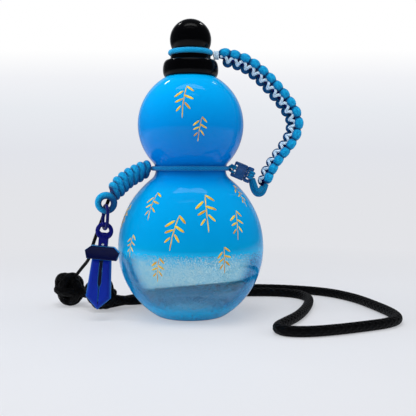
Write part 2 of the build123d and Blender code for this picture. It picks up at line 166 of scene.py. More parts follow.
def turned(name, profile, steps=128):
    # a profile of (radius, height) points spun round Z
    obj = drawn(name, profile)
    bpy.ops.mesh.spin(steps=steps, angle=2 * math.pi, center=(0, 0, 0), axis=(0, 0, 1))
    bpy.ops.mesh.select_all(action="SELECT")
    bpy.ops.mesh.remove_doubles(threshold=0.002 * mm)
    return closeUp(obj)


def outlinePlate(name, points, thick):
    # an outline in the XZ plane, filled and given its thickness
    obj = drawn(name, points, -thick / 2)
    bpy.ops.mesh.edge_face_add()
    bpy.ops.mesh.extrude_region_move(TRANSFORM_OT_translate={"value": (0, thick * mm, 0)})
    bpy.ops.mesh.select_all(action="SELECT")
    return closeUp(obj)


def pickParts(obj, kind, test):
    # edit mode, with the edges or faces selected that the test names
    selectOnly(obj)
    bpy.ops.object.mode_set(mode="EDIT")
    bpy.ops.mesh.select_mode(type=kind)
    bpy.ops.mesh.select_all(action="DESELECT")
    mesh = bmesh.from_edit_mesh(obj.data)
    for part in mesh.edges if kind == "EDGE" else mesh.faces:
        part.select_set(test(part))
    bmesh.update_edit_mesh(obj.data)


def inset(obj, test, *steps):
    # the faces that the test names, drawn in by each (width, depth)
    pickParts(obj, "FACE", test)
    for width, depth in steps:
        bpy.ops.mesh.inset(thickness=width * mm, depth=depth * mm, use_individual=True)
    bpy.ops.object.mode_set(mode="OBJECT")


# materials

def linear(hexText):
    channels = [int(hexText[i:i + 2], 16) / 255 for i in (0, 2, 4)]
    return [c / 12.92 if c <= 0.04045 else ((c + 0.055) / 1.055) ** 2.4 for c in channels] + [1.0]


def setInputs(tree, node, inputs):
    # by name or in their order: a number, a hex colour or another node's output
    for key, value in inputs.items() if isinstance(inputs, dict) else enumerate(inputs):
        if isinstance(value, bpy.types.NodeSocket):
            tree.links.new(value, node.inputs[key])
        else:
            node.inputs[key].default_value = linear(value) if isinstance(value, str) else value


def addNode(tree, kind, inputs=(), take=0, stops=(), **settings):
    # a node with its settings, links and colour stops; gives the output that is wanted of it
    node = tree.nodes.new("ShaderNode" + kind)
    for key, value in settings.items():
        setattr(node, key, value)
    elements = node.color_ramp.elements if stops else ()
    while len(elements) < len(stops):
        elements.new(0.5)
    for element, (share, colour) in zip(elements, stops):
        element.position = share
        element.color = linear(colour) if isinstance(colour, str) else [colour] * 3 + [1.0]
    setInputs(tree, node, inputs)
    return node.outputs[take]


def newMaterial(name, inputs):
    material = bpy.data.materials.new(name)
    material.use_nodes = True
    tree = material.node_tree
    shader = tree.nodes["Principled BSDF"]
    setInputs(tree, shader, inputs)
    return material, tree, shader


def plainMaterial(name, inputs, relief, cloud=None):
    # relief: a fine noise's scale and detail, its depth in metres and its strength;
    # cloud: a broad noise's scale and detail, and the tones that it runs between.
    # A scale counts the noise's cells in a metre: 2500 gives grains of 0.4 mm.
    material, tree, shader = newMaterial(name, inputs)
    spot = addNode(tree, "TexCoord", take="Object")
    scale, detail, depth, strength = relief
    fine = addNode(tree, "TexNoise", {"Vector": spot, "Scale": scale, "Detail": detail})
    bump = addNode(tree, "Bump", {"Height": fine, "Distance": depth, "Strength": strength})
    setInputs(tree, shader, {"Normal": bump})
    if cloud:
        scale, detail, tones = cloud
        broad = addNode(tree, "TexNoise", {"Vector": spot, "Scale": scale, "Detail": detail})
        setInputs(tree, shader, {"Base Color": addNode(tree, "ValToRGB", (broad,), stops=tones)})
    return material, tree, shader, spot


# the photograph's own view; the pale table behind it has its lengths in metres
view = {"lens": 59.37, "sensor": 36.0, "clipEnd": 20.0, "x": 12.03, "y": -480.0, "z": 102.9, "pitch": 3.34}
studio = {
    "floorHex": "e4e6ea", "size": 4.0, "behind": 0.6, "rise": (0, 0.4, 2.6), "bend": 0.7,
    "glow": 0.46, "near": 0.14, "far": 0.45, "mirrored": 0.2, "through": 1.0,
    "backdrop": ((0.0, "e3e4e8"), (0.17, "e2e4ea"), (0.36, "e8ebf0"), (0.51, "f1f2f6"), (0.64, "ffffff")),
}
rays = ("Is Camera Ray", "Is Glossy Ray", "Is Transmission Ray")


def makeCamera(v):
    data = bpy.data.cameras.new("photoCamera")
    data.lens, data.sensor_width, data.clip_end = v["lens"], v["sensor"], v["clipEnd"]
    camera = bpy.data.objects.new("photoCamera", data)
    camera.location = at(v["x"], v["y"], v["z"])
    camera.rotation_euler = (math.radians(90 - v["pitch"]), 0, 0)
    scene.collection.objects.link(camera)
    scene.camera = camera


def floorMaterial(s):
    # sprayed matt board: lit by the lamps, and partly bright by itself where it is only looked at
    material, tree, shader = newMaterial("paleBoard", {"Roughness": 0.55, "Base Color": s["floorHex"]})
    fine = addNode(tree, "TexNoise", {"Scale": 900.0, "Detail": 2.0})
    bump = addNode(tree, "Bump", {"Height": fine, "Distance": 0.00005, "Strength": 0.3})
    setInputs(tree, shader, {"Normal": bump})
    looked, glossy, through = [addNode(tree, "LightPath", take=ray) for ray in rays]
    spot = addNode(tree, "TexCoord", take="Object")
    height = addNode(tree, "SeparateXYZ", (spot,), "Z")
    back = addNode(tree, "ValToRGB", (height,), stops=s["backdrop"])
    glow = addNode(tree, "Emission", {"Color": back, "Strength": 1.0})
    away = addNode(tree, "VectorMath", (spot,), "Value", operation="LENGTH")
    fade = addNode(tree, "MapRange", (away, s["near"], s["far"], s["glow"], 1.0))
    dimmed = addNode(tree, "Math", (glossy, s["mirrored"]), operation="MULTIPLY")
    seen = addNode(tree, "Math", (looked, dimmed), operation="MAXIMUM")
    seen = addNode(tree, "Math", (seen, fade), operation="MULTIPLY")
    through = addNode(tree, "Math", (through, s["through"]), operation="MULTIPLY")
    seen = addNode(tree, "Math", (seen, through), operation="MAXIMUM")
    both = addNode(tree, "MixShader", (seen, shader.outputs[0], glow))
    setInputs(tree, tree.nodes["Material Output"], {"Surface": both})
    return material


def makeStage(s):
    selectOnly()
    bpy.ops.mesh.primitive_plane_add(size=s["size"], location=(0, s["behind"], 0))
    floor = bpy.context.object
    floor.name = "studioFloor"
    back = s["size"] / 2
    pickParts(floor, "EDGE", lambda edge: all(v.co.y > back - 0.1 for v in edge.verts))
    bpy.ops.mesh.extrude_region_move(TRANSFORM_OT_translate={"value": s["rise"]})
    pickParts(floor, "EDGE", lambda edge: all(abs(v.co.y - back) < 0.01 and v.co.z < 0.1 for v in edge.verts))
    bpy.ops.mesh.bevel(offset=s["bend"], segments=12, affect="EDGES")
    bpy.ops.object.mode_set(mode="OBJECT")
    freezePlace(floor)
    smooth(floor)
    floor.data.materials.append(floorMaterial(s))


# soft boxes, in metres and watts; those with gloss make the glints
lamps = (
    {"name": "key", "place": (-0.15, -0.35, 0.95), "size": (0.9, 0.5), "power": 4.7, "gloss": False},
    {"name": "sideLeft", "place": (-0.95, 0.02, 0.35), "size": (0.8, 0.7), "power": 4.5, "gloss": False},
    {"name": "sideRight", "place": (0.95, 0.02, 0.35), "size": (0.8, 0.7), "power": 3.6, "gloss": False},
    {"name": "front", "place": (-0.5, -1.2, 0.45), "size": (0.9, 0.7), "power": 3.6, "gloss": False},
    {"name": "arcGlint", "place": (0.0, -0.11, 0.95), "size": (0.72, 0.17), "power": 0.9, "gloss": True},
    {"name": "thinGlint", "place": (0.0, -0.42, 0.93), "size": (0.62, 0.05), "power": 0.08, "gloss": True},
    {"name": "sparkLeft", "place": (-0.47, 0.53, 0.97), "size": (0.15, 0.07), "power": 0.5, "gloss": True},
    {"name": "sparkRight", "place": (0.45, 0.53, 0.97), "size": (0.15, 0.07), "power": 0.5, "gloss": True},
)
lampAim = Vector((0, 0, 0.1))


def makeLamps(boxes):
    for box in boxes:
        data = bpy.data.lights.new(box["name"], "AREA")
        data.shape = "ELLIPSE"
        data.size, data.size_y = box["size"]
        data.energy = box["power"]
        lamp = bpy.data.objects.new(box["name"], data)
        lamp.location = box["place"]
        lamp.visible_glossy = box["gloss"]
        lamp.rotation_euler = (lampAim - Vector(box["place"])).to_track_quat("-Z", "Y").to_euler()
        scene.collection.objects.link(lamp)


# the room's colour and strength: as light, in gloss, and where it is looked at
room = (("e3e8f2", 0.4), ("dfe6f4", 0.11), ("e6e8ed", 0.95))


def makeWorld(tones):
    world = bpy.data.worlds.new("paleStudio")
    world.use_nodes = True
    scene.world = world
    tree = world.node_tree
    looked, glossy, through = [addNode(tree, "LightPath", take=ray) for ray in rays]
    lit, gloss, shown = [addNode(tree, "Background", tone) for tone in tones]
    seen = addNode(tree, "Math", (looked, through), operation="MAXIMUM")
    first = addNode(tree, "MixShader", (glossy, lit, gloss))
    both = addNode(tree, "MixShader", (seen, first, shown))
    setInputs(tree, tree.nodes["World Output"], {"Surface": both})


scene.view_settings.view_transform = "Standard"
makeCamera(view)
makeStage(studio)
makeLamps(lamps)
makeWorld(room)
print("stage: camera, floor and lamps")


# lines and cords

def splineLine(route):
    # the route's smooth line, read from a NURBS curve on the route's own points
    curve = bpy.data.curves.new("route", "CURVE")
    curve.dimensions = "3D"
    curve.resolution_u = 24
    spline = curve.splines.new("NURBS")
    spline.points.add(len(route) - 1)
    for knot, (x, y, z) in zip(spline.points, route):
        knot.co = (x * mm, y * mm, z * mm, 1.0)
    spline.order_u = 3
    spline.use_endpoint_u = True
    holder = bpy.data.objects.new("route", curve)
    scene.collection.objects.link(holder)
    bpy.context.view_layer.update()
    mesh = bpy.data.meshes.new_from_object(holder)
    line = [v.co.copy() for v in mesh.vertices]
    bpy.data.objects.remove(holder)
    return line


def evenly(line, step):
    # the same line with points a step apart
    lengths = [0.0]
    for here, there in zip(line, line[1:]):
        lengths.append(lengths[-1] + (there - here).length)
    count = max(int(round(lengths[-1] / (step * mm))), 2)
    points, k = [], 0
    for i in range(count + 1):
        want = lengths[-1] * i / count
        while k < len(lengths) - 2 and lengths[k + 1] < want:
            k += 1
        run = max(lengths[k + 1] - lengths[k], 1e-9)
        points.append(line[k].lerp(line[k + 1], (want - lengths[k]) / run))
    return points


def carriedFrames(points, closed):
    # tangent and two cross directions at each point, carried along without twist
    count = len(points)
    frames, side = [], None
    for i in range(count):
        before = points[i - 1] if i or closed else points[0]
        after = points[(i + 1) % count] if i < count - 1 or closed else points[-1]
        tangent = (after - before).normalized()
        if side is None:
            side = tangent.cross(Vector((0, 0, 1)))
            side = (side if side.length > 0.1 else tangent.cross(Vector((1, 0, 0)))).normalized()
        side = (side - tangent * side.dot(tangent)).normalized()
        frames.append((tangent, side, tangent.cross(side)))
    return frames


def tubes(name, strands):
    # each strand: points, radius (a number or a function of share, angle and length), sides, closed,
    # dome of its ends, painted shade (0 to 1, kept as an attribute); its lay in mm is kept in the UV map
    verts, faces, uvs, shades = [], [], [], []
    for strand in strands:
        points, closed = strand["points"], strand.get("closed", False)
        sides, radius = strand.get("sides", 14), strand["radius"]
        shade = strand.get("shade", 0.5)
        count, base, travelled = len(points), len(verts), 0.0
        frames = carriedFrames(points, closed)
        turn = 0.0
        if closed:
            first, last = frames[0], frames[-1]
            carried = (last[1] - first[0] * last[1].dot(first[0])).normalized()
            turn = math.atan2(first[2].dot(carried), first[1].dot(carried))
        along = []
        for i, (here, (_, side, up)) in enumerate(zip(points, frames)):
            if i:
                travelled += (here - points[i - 1]).length
            along.append(travelled / mm)
            share = i / (count if closed else count - 1)
            for k in range(sides):
                angle = 2 * math.pi * k / sides - turn * share
                reach = radius(share, angle, along[-1]) if callable(radius) else radius
                verts.append(here + (side * math.cos(angle) + up * math.sin(angle)) * reach * mm)
                shades.append(shade)
        total = along[-1] + (points[0] - points[-1]).length / mm if closed else along[-1]
        for i in range(count if closed else count - 1):
            j = (i + 1) % count
            u0, u1 = along[i], (total if j == 0 else along[j])
            low, high = base + i * sides, base + j * sides
            for k in range(sides):
                m = (k + 1) % sides
                faces.append((low + k, high + k, high + m, low + m))
                uvs += [(u0, k / sides), (u1, k / sides), (u1, (k + 1) / sides), (u0, (k + 1) / sides)]
        if not closed:
            for i, sign in ((0, -1), (count - 1, 1)):
                low = base + i * sides
                reach = (verts[low] - points[i]).length
                verts.append(points[i] + frames[i][0] * sign * reach * strand.get("dome", 0.35))
                shades.append(shade)
                for k in range(sides):
                    pair = (low + k, low + (k + 1) % sides)
                    faces.append((*pair[::sign], len(verts) - 1))
                    uvs += [(along[i], k / sides)] * 3
    mesh = bpy.data.meshes.new(name)
    mesh.from_pydata(verts, [], faces)
    layer = mesh.uv_layers.new(name="lay")
    layer.data.foreach_set("uv", [c for pair in uvs for c in pair])
    depth = mesh.attributes.new("shade", "FLOAT", "POINT")
    depth.data.foreach_set("value", shades)
    mesh.polygons.foreach_set("use_smooth", [True] * len(mesh.polygons))
    mesh.update()
    obj = bpy.data.objects.new(name, mesh)
    scene.collection.objects.link(obj)
    selectOnly(obj)
    bpy.ops.object.mode_set(mode="EDIT")
    bpy.ops.mesh.select_all(action="SELECT")
    bpy.ops.mesh.normals_make_consistent(inside=False)
    bpy.ops.object.mode_set(mode="OBJECT")
    return obj


def shadeBy(obj, points, rule):
    # painted shade: a rule gives how open each vertex lies, from its place and the nearest of the points
    tree = kdtree.KDTree(len(points))
    for i, point in enumerate(points):
        tree.insert(point, i)
    tree.balance()
    values = [0.5 * rule(vert.co, *tree.find(vert.co)) for vert in obj.data.vertices]
    obj.data.attributes["shade"].data.foreach_set("value", values)


def shadeFrom(obj, points, near, far, towards, low):
    # painted shade: dark near the points, and on the side that looks away from the given light direction
    up = Vector(towards).normalized()

    def rule(spot, here, _, away):
        depth = min(max((away / mm - near) / (far - near), 0), 1)
        lean = (spot - here).normalized().dot(up)
        return depth * (low + (1 - low) * min(max(0.5 + lean, 0), 1))
    shadeBy(obj, points, rule)


# Woven nylon sheath: a kernmantle cord's braid, matt with a soft sheen. Real picks are about 0.8 mm;
# they are drawn a little coarser so that they show. The relief is in metres.
# each braid's colours: lit on the weave's ridges and deep in its valleys, which is painted light and shade,
# and a darker colour for the painted shade in deep places
braids = (
    {"name": "wovenBlackRope", "lit": "060607", "deep": "010102", "hollow": "000000",
     "picks": 6, "pitch": 5.2, "sheen": 0.015, "relief": 0.0004},
    {"name": "wovenBlackLanyard", "lit": "060607", "deep": "010102", "hollow": "000000",
     "picks": 4, "pitch": 2.4, "sheen": 0.015, "relief": 0.00018},
    {"name": "wovenSkyParacord", "lit": "10b0de", "deep": "0480bc", "hollow": "010a50",
     "picks": 6, "pitch": 2.6, "sheen": 0.15, "relief": 0.00012},
    {"name": "wovenTealParacord", "lit": "048cc4", "deep": "02609c", "hollow": "000000",
     "picks": 6, "pitch": 2.6, "sheen": 0.1, "relief": 0.00018},
    {"name": "wovenWhiteCord", "lit": "e9f4fb", "deep": "adcde2", "hollow": "3f7db2",
     "picks": 4, "pitch": 1.8, "sheen": 0.25, "relief": 0.00012},
    {"name": "wovenNavyCord", "lit": "0b1a80", "deep": "030634", "hollow": "000000",
     "picks": 5, "pitch": 2.2, "sheen": 0.2, "relief": 0.00018},
)


def braidMaterial(b):
    material, tree, shader = newMaterial(b["name"], {
        "Roughness": 0.62, "Sheen Weight": b["sheen"], "Sheen Roughness": 0.4, "Specular IOR Level": 0.12})
    lay = addNode(tree, "UVMap", uv_map="lay")
    along, around = [addNode(tree, "SeparateXYZ", (lay,), axis) for axis in "XY"]
    along = addNode(tree, "Math", (along, 2 * math.pi / b["pitch"]), operation="MULTIPLY")
    around = addNode(tree, "Math", (around, 2 * math.pi * b["picks"]), operation="MULTIPLY")
    left, right = [addNode(tree, "Math", (addNode(tree, "Math", (along, around), operation=way),),
                           operation="COSINE") for way in ("ADD", "SUBTRACT")]
    weave = addNode(tree, "Math", (left, right), operation="MAXIMUM")
    height = addNode(tree, "Math", (weave, 0.5, 0.5), operation="MULTIPLY_ADD")
    spot = addNode(tree, "TexCoord", take="Object")
    patch = addNode(tree, "TexNoise", {"Vector": spot, "Scale": 420.0, "Detail": 3.0})
    # painted light and shade: the weave's ridges take the lit colour and its valleys the deep one, broken up
    # by random patches
    paintedLightShare = addNode(tree, "Math", (height, patch), operation="MULTIPLY")
    base = addNode(tree, "Mix", {0: paintedLightShare, 6: b["deep"], 7: b["lit"]}, 2, data_type="RGBA")
    # painted shade: where the shade attribute is low, the colour goes over to the braid's darker shade colour
    shade = addNode(tree, "Attribute", take="Fac", attribute_name="shade")
    unshaded = addNode(tree, "Math", (shade, 2.0), operation="MULTIPLY")
    base = addNode(tree, "Mix", {0: unshaded, 6: b["hollow"], 7: base}, 2, data_type="RGBA")
    fuzz = addNode(tree, "TexNoise", {"Vector": spot, "Scale": 3000.0, "Detail": 2.0})
    mixed = addNode(tree, "Math", (fuzz, 0.35, height), operation="MULTIPLY_ADD")
    bump = addNode(tree, "Bump", {"Height": mixed, "Distance": b["relief"], "Strength": 0.8})
    setInputs(tree, shader, {"Base Color": base, "Normal": bump})
    return material


ropeBlack, lanyardBlack, cordSky, cordTeal, cordWhite, cordNavy = [braidMaterial(braid) for braid in braids]

# the shoulder rope: every point of the route as it lies on the table
rope = {
    "radius": 3.4, "swell": 0.05, "lift": 3.5, "step": 0.75, "sides": 36,
    "plait": 0.075, "picks": 6, "pitch": 5.2,
    "plan": [
        (-61, 18.5), (-47, 36), (-27, 56), (2, 72), (32, 83), (60, 84), (87, 77), (110, 64),
        (125, 40), (133, 12), (138.5, -12), (138.5, -32), (129, -44), (110, -54), (89, -63.5),
        (71, -68.5), (58, -66), (54.5, -56.5), (61, -44), (71, -27), (79.5, -5), (86, 19),
        (89.5, 40), (84, 57), (68, 65.5), (44, 66), (14, 63), (-14, 50), (-35, 34),
    ],
    "end": [(-49, 20, 5.2), (-57, 10.5, 8.6)],
    "link": [(-74.8, 18.6, 11.0), (-78.4, 22.2, 10.2), (-81.8, 23.4, 11.2)],
    "knots": (
        {"name": "ropeKnotInner", "node": "rope_knot_inner",
         "place": (-65.4, 12.5), "size": 12.5, "spin": 20},
        {"name": "ropeKnotOuter", "node": "rope_knot_outer",
         "place": (-91.5, 30.0), "size": 13.0, "spin": 95},
    ),
    "lay": {"points": 220, "leads": 3, "waves": 4, "rise": 58, "weave": 1.1, "phase": 0.6, "tip": 62,
            "sunk": 0.6, "lift": 0.1, "thin": 0.97, "step": 0.9, "sides": 30},
}


def plaited(r, radius):
    # a braid's crossing strands as a shallow relief on the tube
    def surface(share, angle, along):
        lay = 2 * math.pi * along / r["pitch"]
        ridge = max(math.cos(r["picks"] * angle + lay), math.cos(r["picks"] * angle - lay))
        return radius * (1 - r["plait"] * 0.5 + r["plait"] * 0.5 * ridge)
    return surface


def makeRope(r):
    line = splineLine([(x, y, r["lift"]) for x, y in r["plan"]] + r["end"])
    surface = plaited(r, r["radius"] + r["swell"])
    obj = tubes("shoulderRope", [{"points": evenly(line, r["step"]), "radius": surface, "sides": r["sides"]}])
    return dress(obj, ropeBlack, "bottle", "black_rope", "shoulder_rope"), line


def makeRopeKnot(r, knot):
    # a round knot: one rope end laid in three leads that cross over and under round the middle
    size, lay = knot["size"], r["lay"]
    ball, spin = size - r["radius"] - lay["sunk"], math.radians(knot["spin"])
    centre = at(*knot["place"], size + lay["lift"])
    turn = Matrix.Rotation(math.radians(lay["tip"]), 3, "Y") @ Matrix.Rotation(spin, 3, "Z")
    points = []
    for t in turnOf(lay["points"]):
        around = lay["leads"] * t + spin
        rise = math.radians(lay["rise"]) * math.sin(lay["waves"] * t)
        reach = ball + lay["weave"] * math.cos(2 * lay["waves"] * t + lay["phase"])
        spot = (math.cos(rise) * math.cos(around), math.cos(rise) * math.sin(around), math.sin(rise))
        points.append(centre + turn @ (Vector(spot) * reach * mm))
    core = [centre + at(0, 0, (i / 8 - 1) * (ball - 1.0)) for i in range(17)]

    def swell(share, angle, along):
        return max((ball - lay["sunk"]) * math.sqrt(max(1 - (2 * share - 1) ** 2, 0.02)), 0.8)
    obj = tubes(knot["name"], [
        {"points": evenly(points + [points[0]], lay["step"])[:-1],
         "radius": plaited(r, r["radius"] * lay["thin"]),
         "sides": lay["sides"], "closed": True},
        {"points": core, "radius": swell, "sides": lay["sides"], "shade": 0.2}])
    return dress(obj, ropeBlack, "bottle", "black_rope", knot["node"])


shoulderRope, ropeLine = makeRope(rope)
ropeKnots = [makeRopeKnot(rope, knot) for knot in rope["knots"]]
knotLink = tubes("knotLink", [{"points": evenly(splineLine(rope["link"]), rope["step"]), "sides": 30,
                               "radius": plaited(rope, rope["radius"])}])
dress(knotLink, ropeBlack, "bottle", "black_rope", "knot_link")

# the thin lanyard from the tassel's end down to the outer knot
lanyard = {
    "radius": 1.2, "step": 0.8, "route": [
        (-86.0, 24.3, 23.0), (-80.0, 14.5, 30.0), (-71.8, 2.0, 38.5), (-67.6, -9.0, 49.5),
        (-62.9, -14.6, 60.5), (-58.7, -16.4, 70.5), (-56.6, -16.7, 78.4), (-54.0, -17.6, 83.4),
    ]}
lanyardLine = splineLine(lanyard["route"])
lanyardCord = tubes("lanyardCord", [{"points": evenly(lanyardLine, lanyard["step"]),
                                     "radius": lanyard["radius"]}])
dress(lanyardCord, lanyardBlack, "bottle", "black_cord", "lanyard_cord")

print("stage: rope and lanyard")


# Soda-lime glass, blown, sprayed blue inside from the neck down to the belly: the paint fades out
# below the belly, where the clear pale wall shows what lies behind it. Lengths here are in metres.
bottleLook = {
    "speckle": 0.0006, "wave": 0.0012, "waveDepth": 0.0016, "glassHex": "00e6f6", "density": 140.0,
    "dropHex": "06bcf2", "rimHex": "0084c6", "clearHex": "fbfeff",
    "paintTop": 0.18, "dropsTop": 0.06, "fullPaint": (0.045, 0.050), "soft": 0.03,
    # how far the sprayed drops reach across, by height as a share of dropsTop: 1.3 is full paint
    "dropReach": 1.3,
    "drops": ((0.0, 0.52), (0.13, 0.48), (0.19, 0.34), (0.26, 0.24), (0.45, 0.225),
              (0.64, 0.25), (0.72, 0.33),
              (0.78, 0.47), (0.83, 1.0)),
    # the paint's blue by height, with painted light and shade: the upper bulb darker in its lower half and
    # lighter towards its top, and a darker band at the waist under its cord
    "paintAndShade": ((0.00, "0094d8"), (0.26, "0098ce"), (0.33, "0094d2"), (0.42, "0298d8"), (0.49, "029adc"),
              (0.54, "0080d2"), (0.565, "0064bc"), (0.60, "0078d0"), (0.70, "007fcf"), (0.80, "0093dc"),
              (0.90, "00a6ea"), (0.97, "04acee")),
    # clear glass seen edge on is painted deep blue, for the thick wall's tint and the blue paint above
    # reflected in it: where this painted tint and rim start and are full
    "tint": (0.34, 0.54), "rim": (0.48, 0.74),
}


def bottleGlassMaterial(look):
    # tinted clear glass, with drops of blue lacquer that close up to full paint above the fade
    material, tree, shader, spot = plainMaterial("blownGlassSprayedBlue", {
        "Roughness": 0.045, "IOR": 1.5, "Specular IOR Level": 0.14}, (28.0, 1.0, 0.00025, 0.25))
    height = addNode(tree, "SeparateXYZ", (spot,), "Z")
    share = addNode(tree, "MapRange", (height, 0.0, look["paintTop"]))
    # the paint's colour by height, with the painted light and shade of its ramp
    paintAndShade = addNode(tree, "ValToRGB", (share,), stops=look["paintAndShade"])
    wave = addNode(tree, "TexNoise", {"Vector": spot, "Scale": 1 / look["wave"], "Detail": 2.0})
    edge = addNode(tree, "Math", (wave, look["waveDepth"], -look["waveDepth"] / 2), operation="MULTIPLY_ADD")
    wavy = addNode(tree, "Math", (height, edge), operation="ADD")
    low = addNode(tree, "MapRange", (wavy, 0.0, look["dropsTop"]))
    reach = addNode(tree, "ValToRGB", (low,), stops=look["drops"])
    drops = addNode(tree, "TexVoronoi", {"Vector": spot, "Scale": 1 / look["speckle"]}, "Distance")
    reach = addNode(tree, "Math", (reach, look["dropReach"]), operation="MULTIPLY")
    over = addNode(tree, "Math", (reach, drops), operation="SUBTRACT")
    cover = addNode(tree, "MapRange", (over, -look["soft"], look["soft"]))
    full = addNode(tree, "MapRange", (height, *look["fullPaint"]))
    lacquerAndShade = addNode(tree, "Mix", {0: full, 6: look["dropHex"], 7: paintAndShade}, 2, data_type="RGBA")
    # painted reflection: the clear glass is coloured deeper blue and let through less where it is seen edge
    # on
    facing = addNode(tree, "LayerWeight", {"Blend": 0.5}, "Facing")
    clear = addNode(tree, "Math", (1.0, cover), operation="SUBTRACT")
    tinted, rim = [addNode(tree, "Math", (addNode(tree, "MapRange", (facing, *look[key])), clear),
                           operation="MULTIPLY") for key in ("tint", "rim")]
    colour = addNode(tree, "Mix", {0: cover, 6: look["clearHex"], 7: lacquerAndShade}, 2, data_type="RGBA")
    colour = addNode(tree, "Mix", {0: tinted, 6: colour, 7: look["rimHex"]}, 2, data_type="RGBA")
    let = addNode(tree, "Math", (clear, rim), operation="SUBTRACT")
    setInputs(tree, shader, {"Base Color": colour, "Transmission Weight": let})
    depth = addNode(tree, "VolumeAbsorption", {"Color": look["glassHex"], "Density": look["density"]})
    setInputs(tree, tree.nodes["Material Output"], {"Volume": depth})
    return material


# the vessel: two blown bulbs, one wall, a stepped foot and a threaded neck
bottle = {
    "lowerRadius": 50.9, "lowerMiddle": 47.2, "footRadius": 24.0, "lowerJoinRise": 48.5,
    "upperRadius": 36.7, "upperMiddle": 132.7, "upperJoinDrop": 25.3, "neckRise": 34.5,
    "waistRadius": 24.5, "waistJoinRadius": 27.0, "wall": 2.0, "neckRadius": 14.0, "neckHeight": 6.2,
    "boreRadius": 12.0, "floor": 6.8, "punt": 2.6, "puntStep": 1.2, "footRing": 5.0, "footEdge": 0.35,
    "arcPoints": 22, "steps": 160,
}


def arcSide(sideRadius, endRadius, endRise):
    # centre radius and arc radius of a skin that stands upright at the bulb's widest place
    centre = (sideRadius ** 2 - endRadius ** 2 - endRise ** 2) / (2 * (sideRadius - endRadius))
    return centre, sideRadius - centre


def skinLine(b, inset, footHeight, topRadius):
    def stretch(middle, centre, radius, low, high):
        first, last = math.asin(low / radius), math.asin(high / radius)
        angles = [first + (last - first) * i / b["arcPoints"] for i in range(b["arcPoints"] + 1)]
        return [(centre + radius * math.cos(a), middle + radius * math.sin(a)) for a in angles]
    under, underRadius = arcSide(b["lowerRadius"], b["footRadius"], b["lowerMiddle"])
    over, overRadius = arcSide(b["lowerRadius"], b["waistJoinRadius"], b["lowerJoinRise"])
    belly, bellyRadius = arcSide(b["upperRadius"], b["waistJoinRadius"], b["upperJoinDrop"])
    crown, crownRadius = arcSide(b["upperRadius"], b["neckRadius"], b["neckRise"])
    topRise = math.sqrt((crownRadius - inset) ** 2 - (topRadius - crown) ** 2)
    low = stretch(b["lowerMiddle"], under, underRadius - inset, footHeight - b["lowerMiddle"], 0)
    lowTop = stretch(b["lowerMiddle"], over, overRadius - inset, 0, b["lowerJoinRise"])
    high = stretch(b["upperMiddle"], belly, bellyRadius - inset, -b["upperJoinDrop"], 0)
    highTop = stretch(b["upperMiddle"], crown, crownRadius - inset, 0, topRise)
    start, end = Vector(lowTop[-1]), Vector(high[0])
    middle = (start + end) / 2
    sag = middle.x - (b["waistRadius"] - inset)
    half = (end.y - start.y) / 2
    waistArc = (half ** 2 + sag ** 2) / (2 * sag)
    rises = [half * (i / 5 - 1) for i in range(1, 10)]
    waist = [(middle.x - sag + waistArc - math.sqrt(waistArc ** 2 - rise ** 2),
              middle.y + rise) for rise in rises]
    return low + lowTop[1:] + waist + high + highTop[1:]


outerLine = skinLine(bottle, 0, bottle["footEdge"], bottle["neckRadius"])


def bulbRadius(z):
    # outer radius of the vessel at a height, read from its outer line
    for (r0, z0), (r1, z1) in zip(outerLine, outerLine[1:]):
        if z0 <= z <= z1:
            return r0 + (r1 - r0) * (z - z0) / max(z1 - z0, 1e-6)
    return outerLine[-1][0]


def makeBottle(b):
    # the foot, the outer skin, the rim, the inner skin and the floor; the small steps round the corners
    inner = skinLine(b, b["wall"], b["floor"], b["boreRadius"])
    ringInner = b["footRadius"] - b["footRing"]
    stepInner = ringInner - b["footRing"]
    neckTop = outerLine[-1][1] + b["neckHeight"]
    foot = [(0, b["punt"]), (stepInner * 0.5, b["punt"]), (stepInner - 0.5, b["punt"]),
            (stepInner, b["punt"] - 0.4), (stepInner + 0.3, b["puntStep"] + 0.2),
            (stepInner + 0.9, b["puntStep"]), (ringInner - 0.5, b["puntStep"]),
            (ringInner, b["puntStep"] - 0.4), (ringInner + 0.3, 0.25), (ringInner + 0.9, 0),
            (b["footRadius"] - 0.9, 0), (b["footRadius"] - 0.2, 0.1)]
    rim = [(b["neckRadius"], neckTop - 0.5), (b["neckRadius"] - 0.4, neckTop),
           (b["boreRadius"] + 0.4, neckTop), (b["boreRadius"], neckTop - 0.5)]
    base = [(inner[0][0] - 2.5, b["floor"] - 0.9), (inner[0][0] - 8.0, b["floor"] - 1.3),
            (inner[0][0] * 0.4, b["floor"] - 1.3), (0, b["floor"] - 1.3)]
    obj = turned("bottleGlass", foot + outerLine + rim + inner[::-1] + base, b["steps"])
    smooth(obj, 35)
    return obj


vesselBands = ("vessel_foot", "vessel_lower_belly", "vessel_lower_shoulder", "vessel_upper_belly",
               "vessel_upper_shoulder", "vessel_neck")
glassBlue = bottleGlassMaterial(bottleLook)
dress(makeBottle(bottle), glassBlue, "bottle", "bottle_glass", *vesselBands)

# the neck's quick thread: two ridges of 0.6 of a turn each
thread = {"starts": 2, "turns": 0.6, "lead": 6.0, "rise": 1.3, "out": 0.1, "radius": 0.6, "steps": 60}


def makeThread(t, b):
    ridges = []
    reach, foot = b["neckRadius"] + t["out"], outerLine[-1][1] + t["rise"]
    for start in range(t["starts"]):
        points = []
        for i in range(t["steps"] + 1):
            turn = t["turns"] * i / t["steps"]
            angle = 2 * math.pi * (turn + start / t["starts"])
            points.append(at(reach * math.cos(angle), reach * math.sin(angle), foot + t["lead"] * turn))
        ridges.append({"points": points, "radius": t["radius"], "sides": 12, "dome": 0.6})
    return tubes("neckThread", ridges)


dress(makeThread(thread, bottle), glassBlue, "bottle", "bottle_glass")
print("stage: bottle")


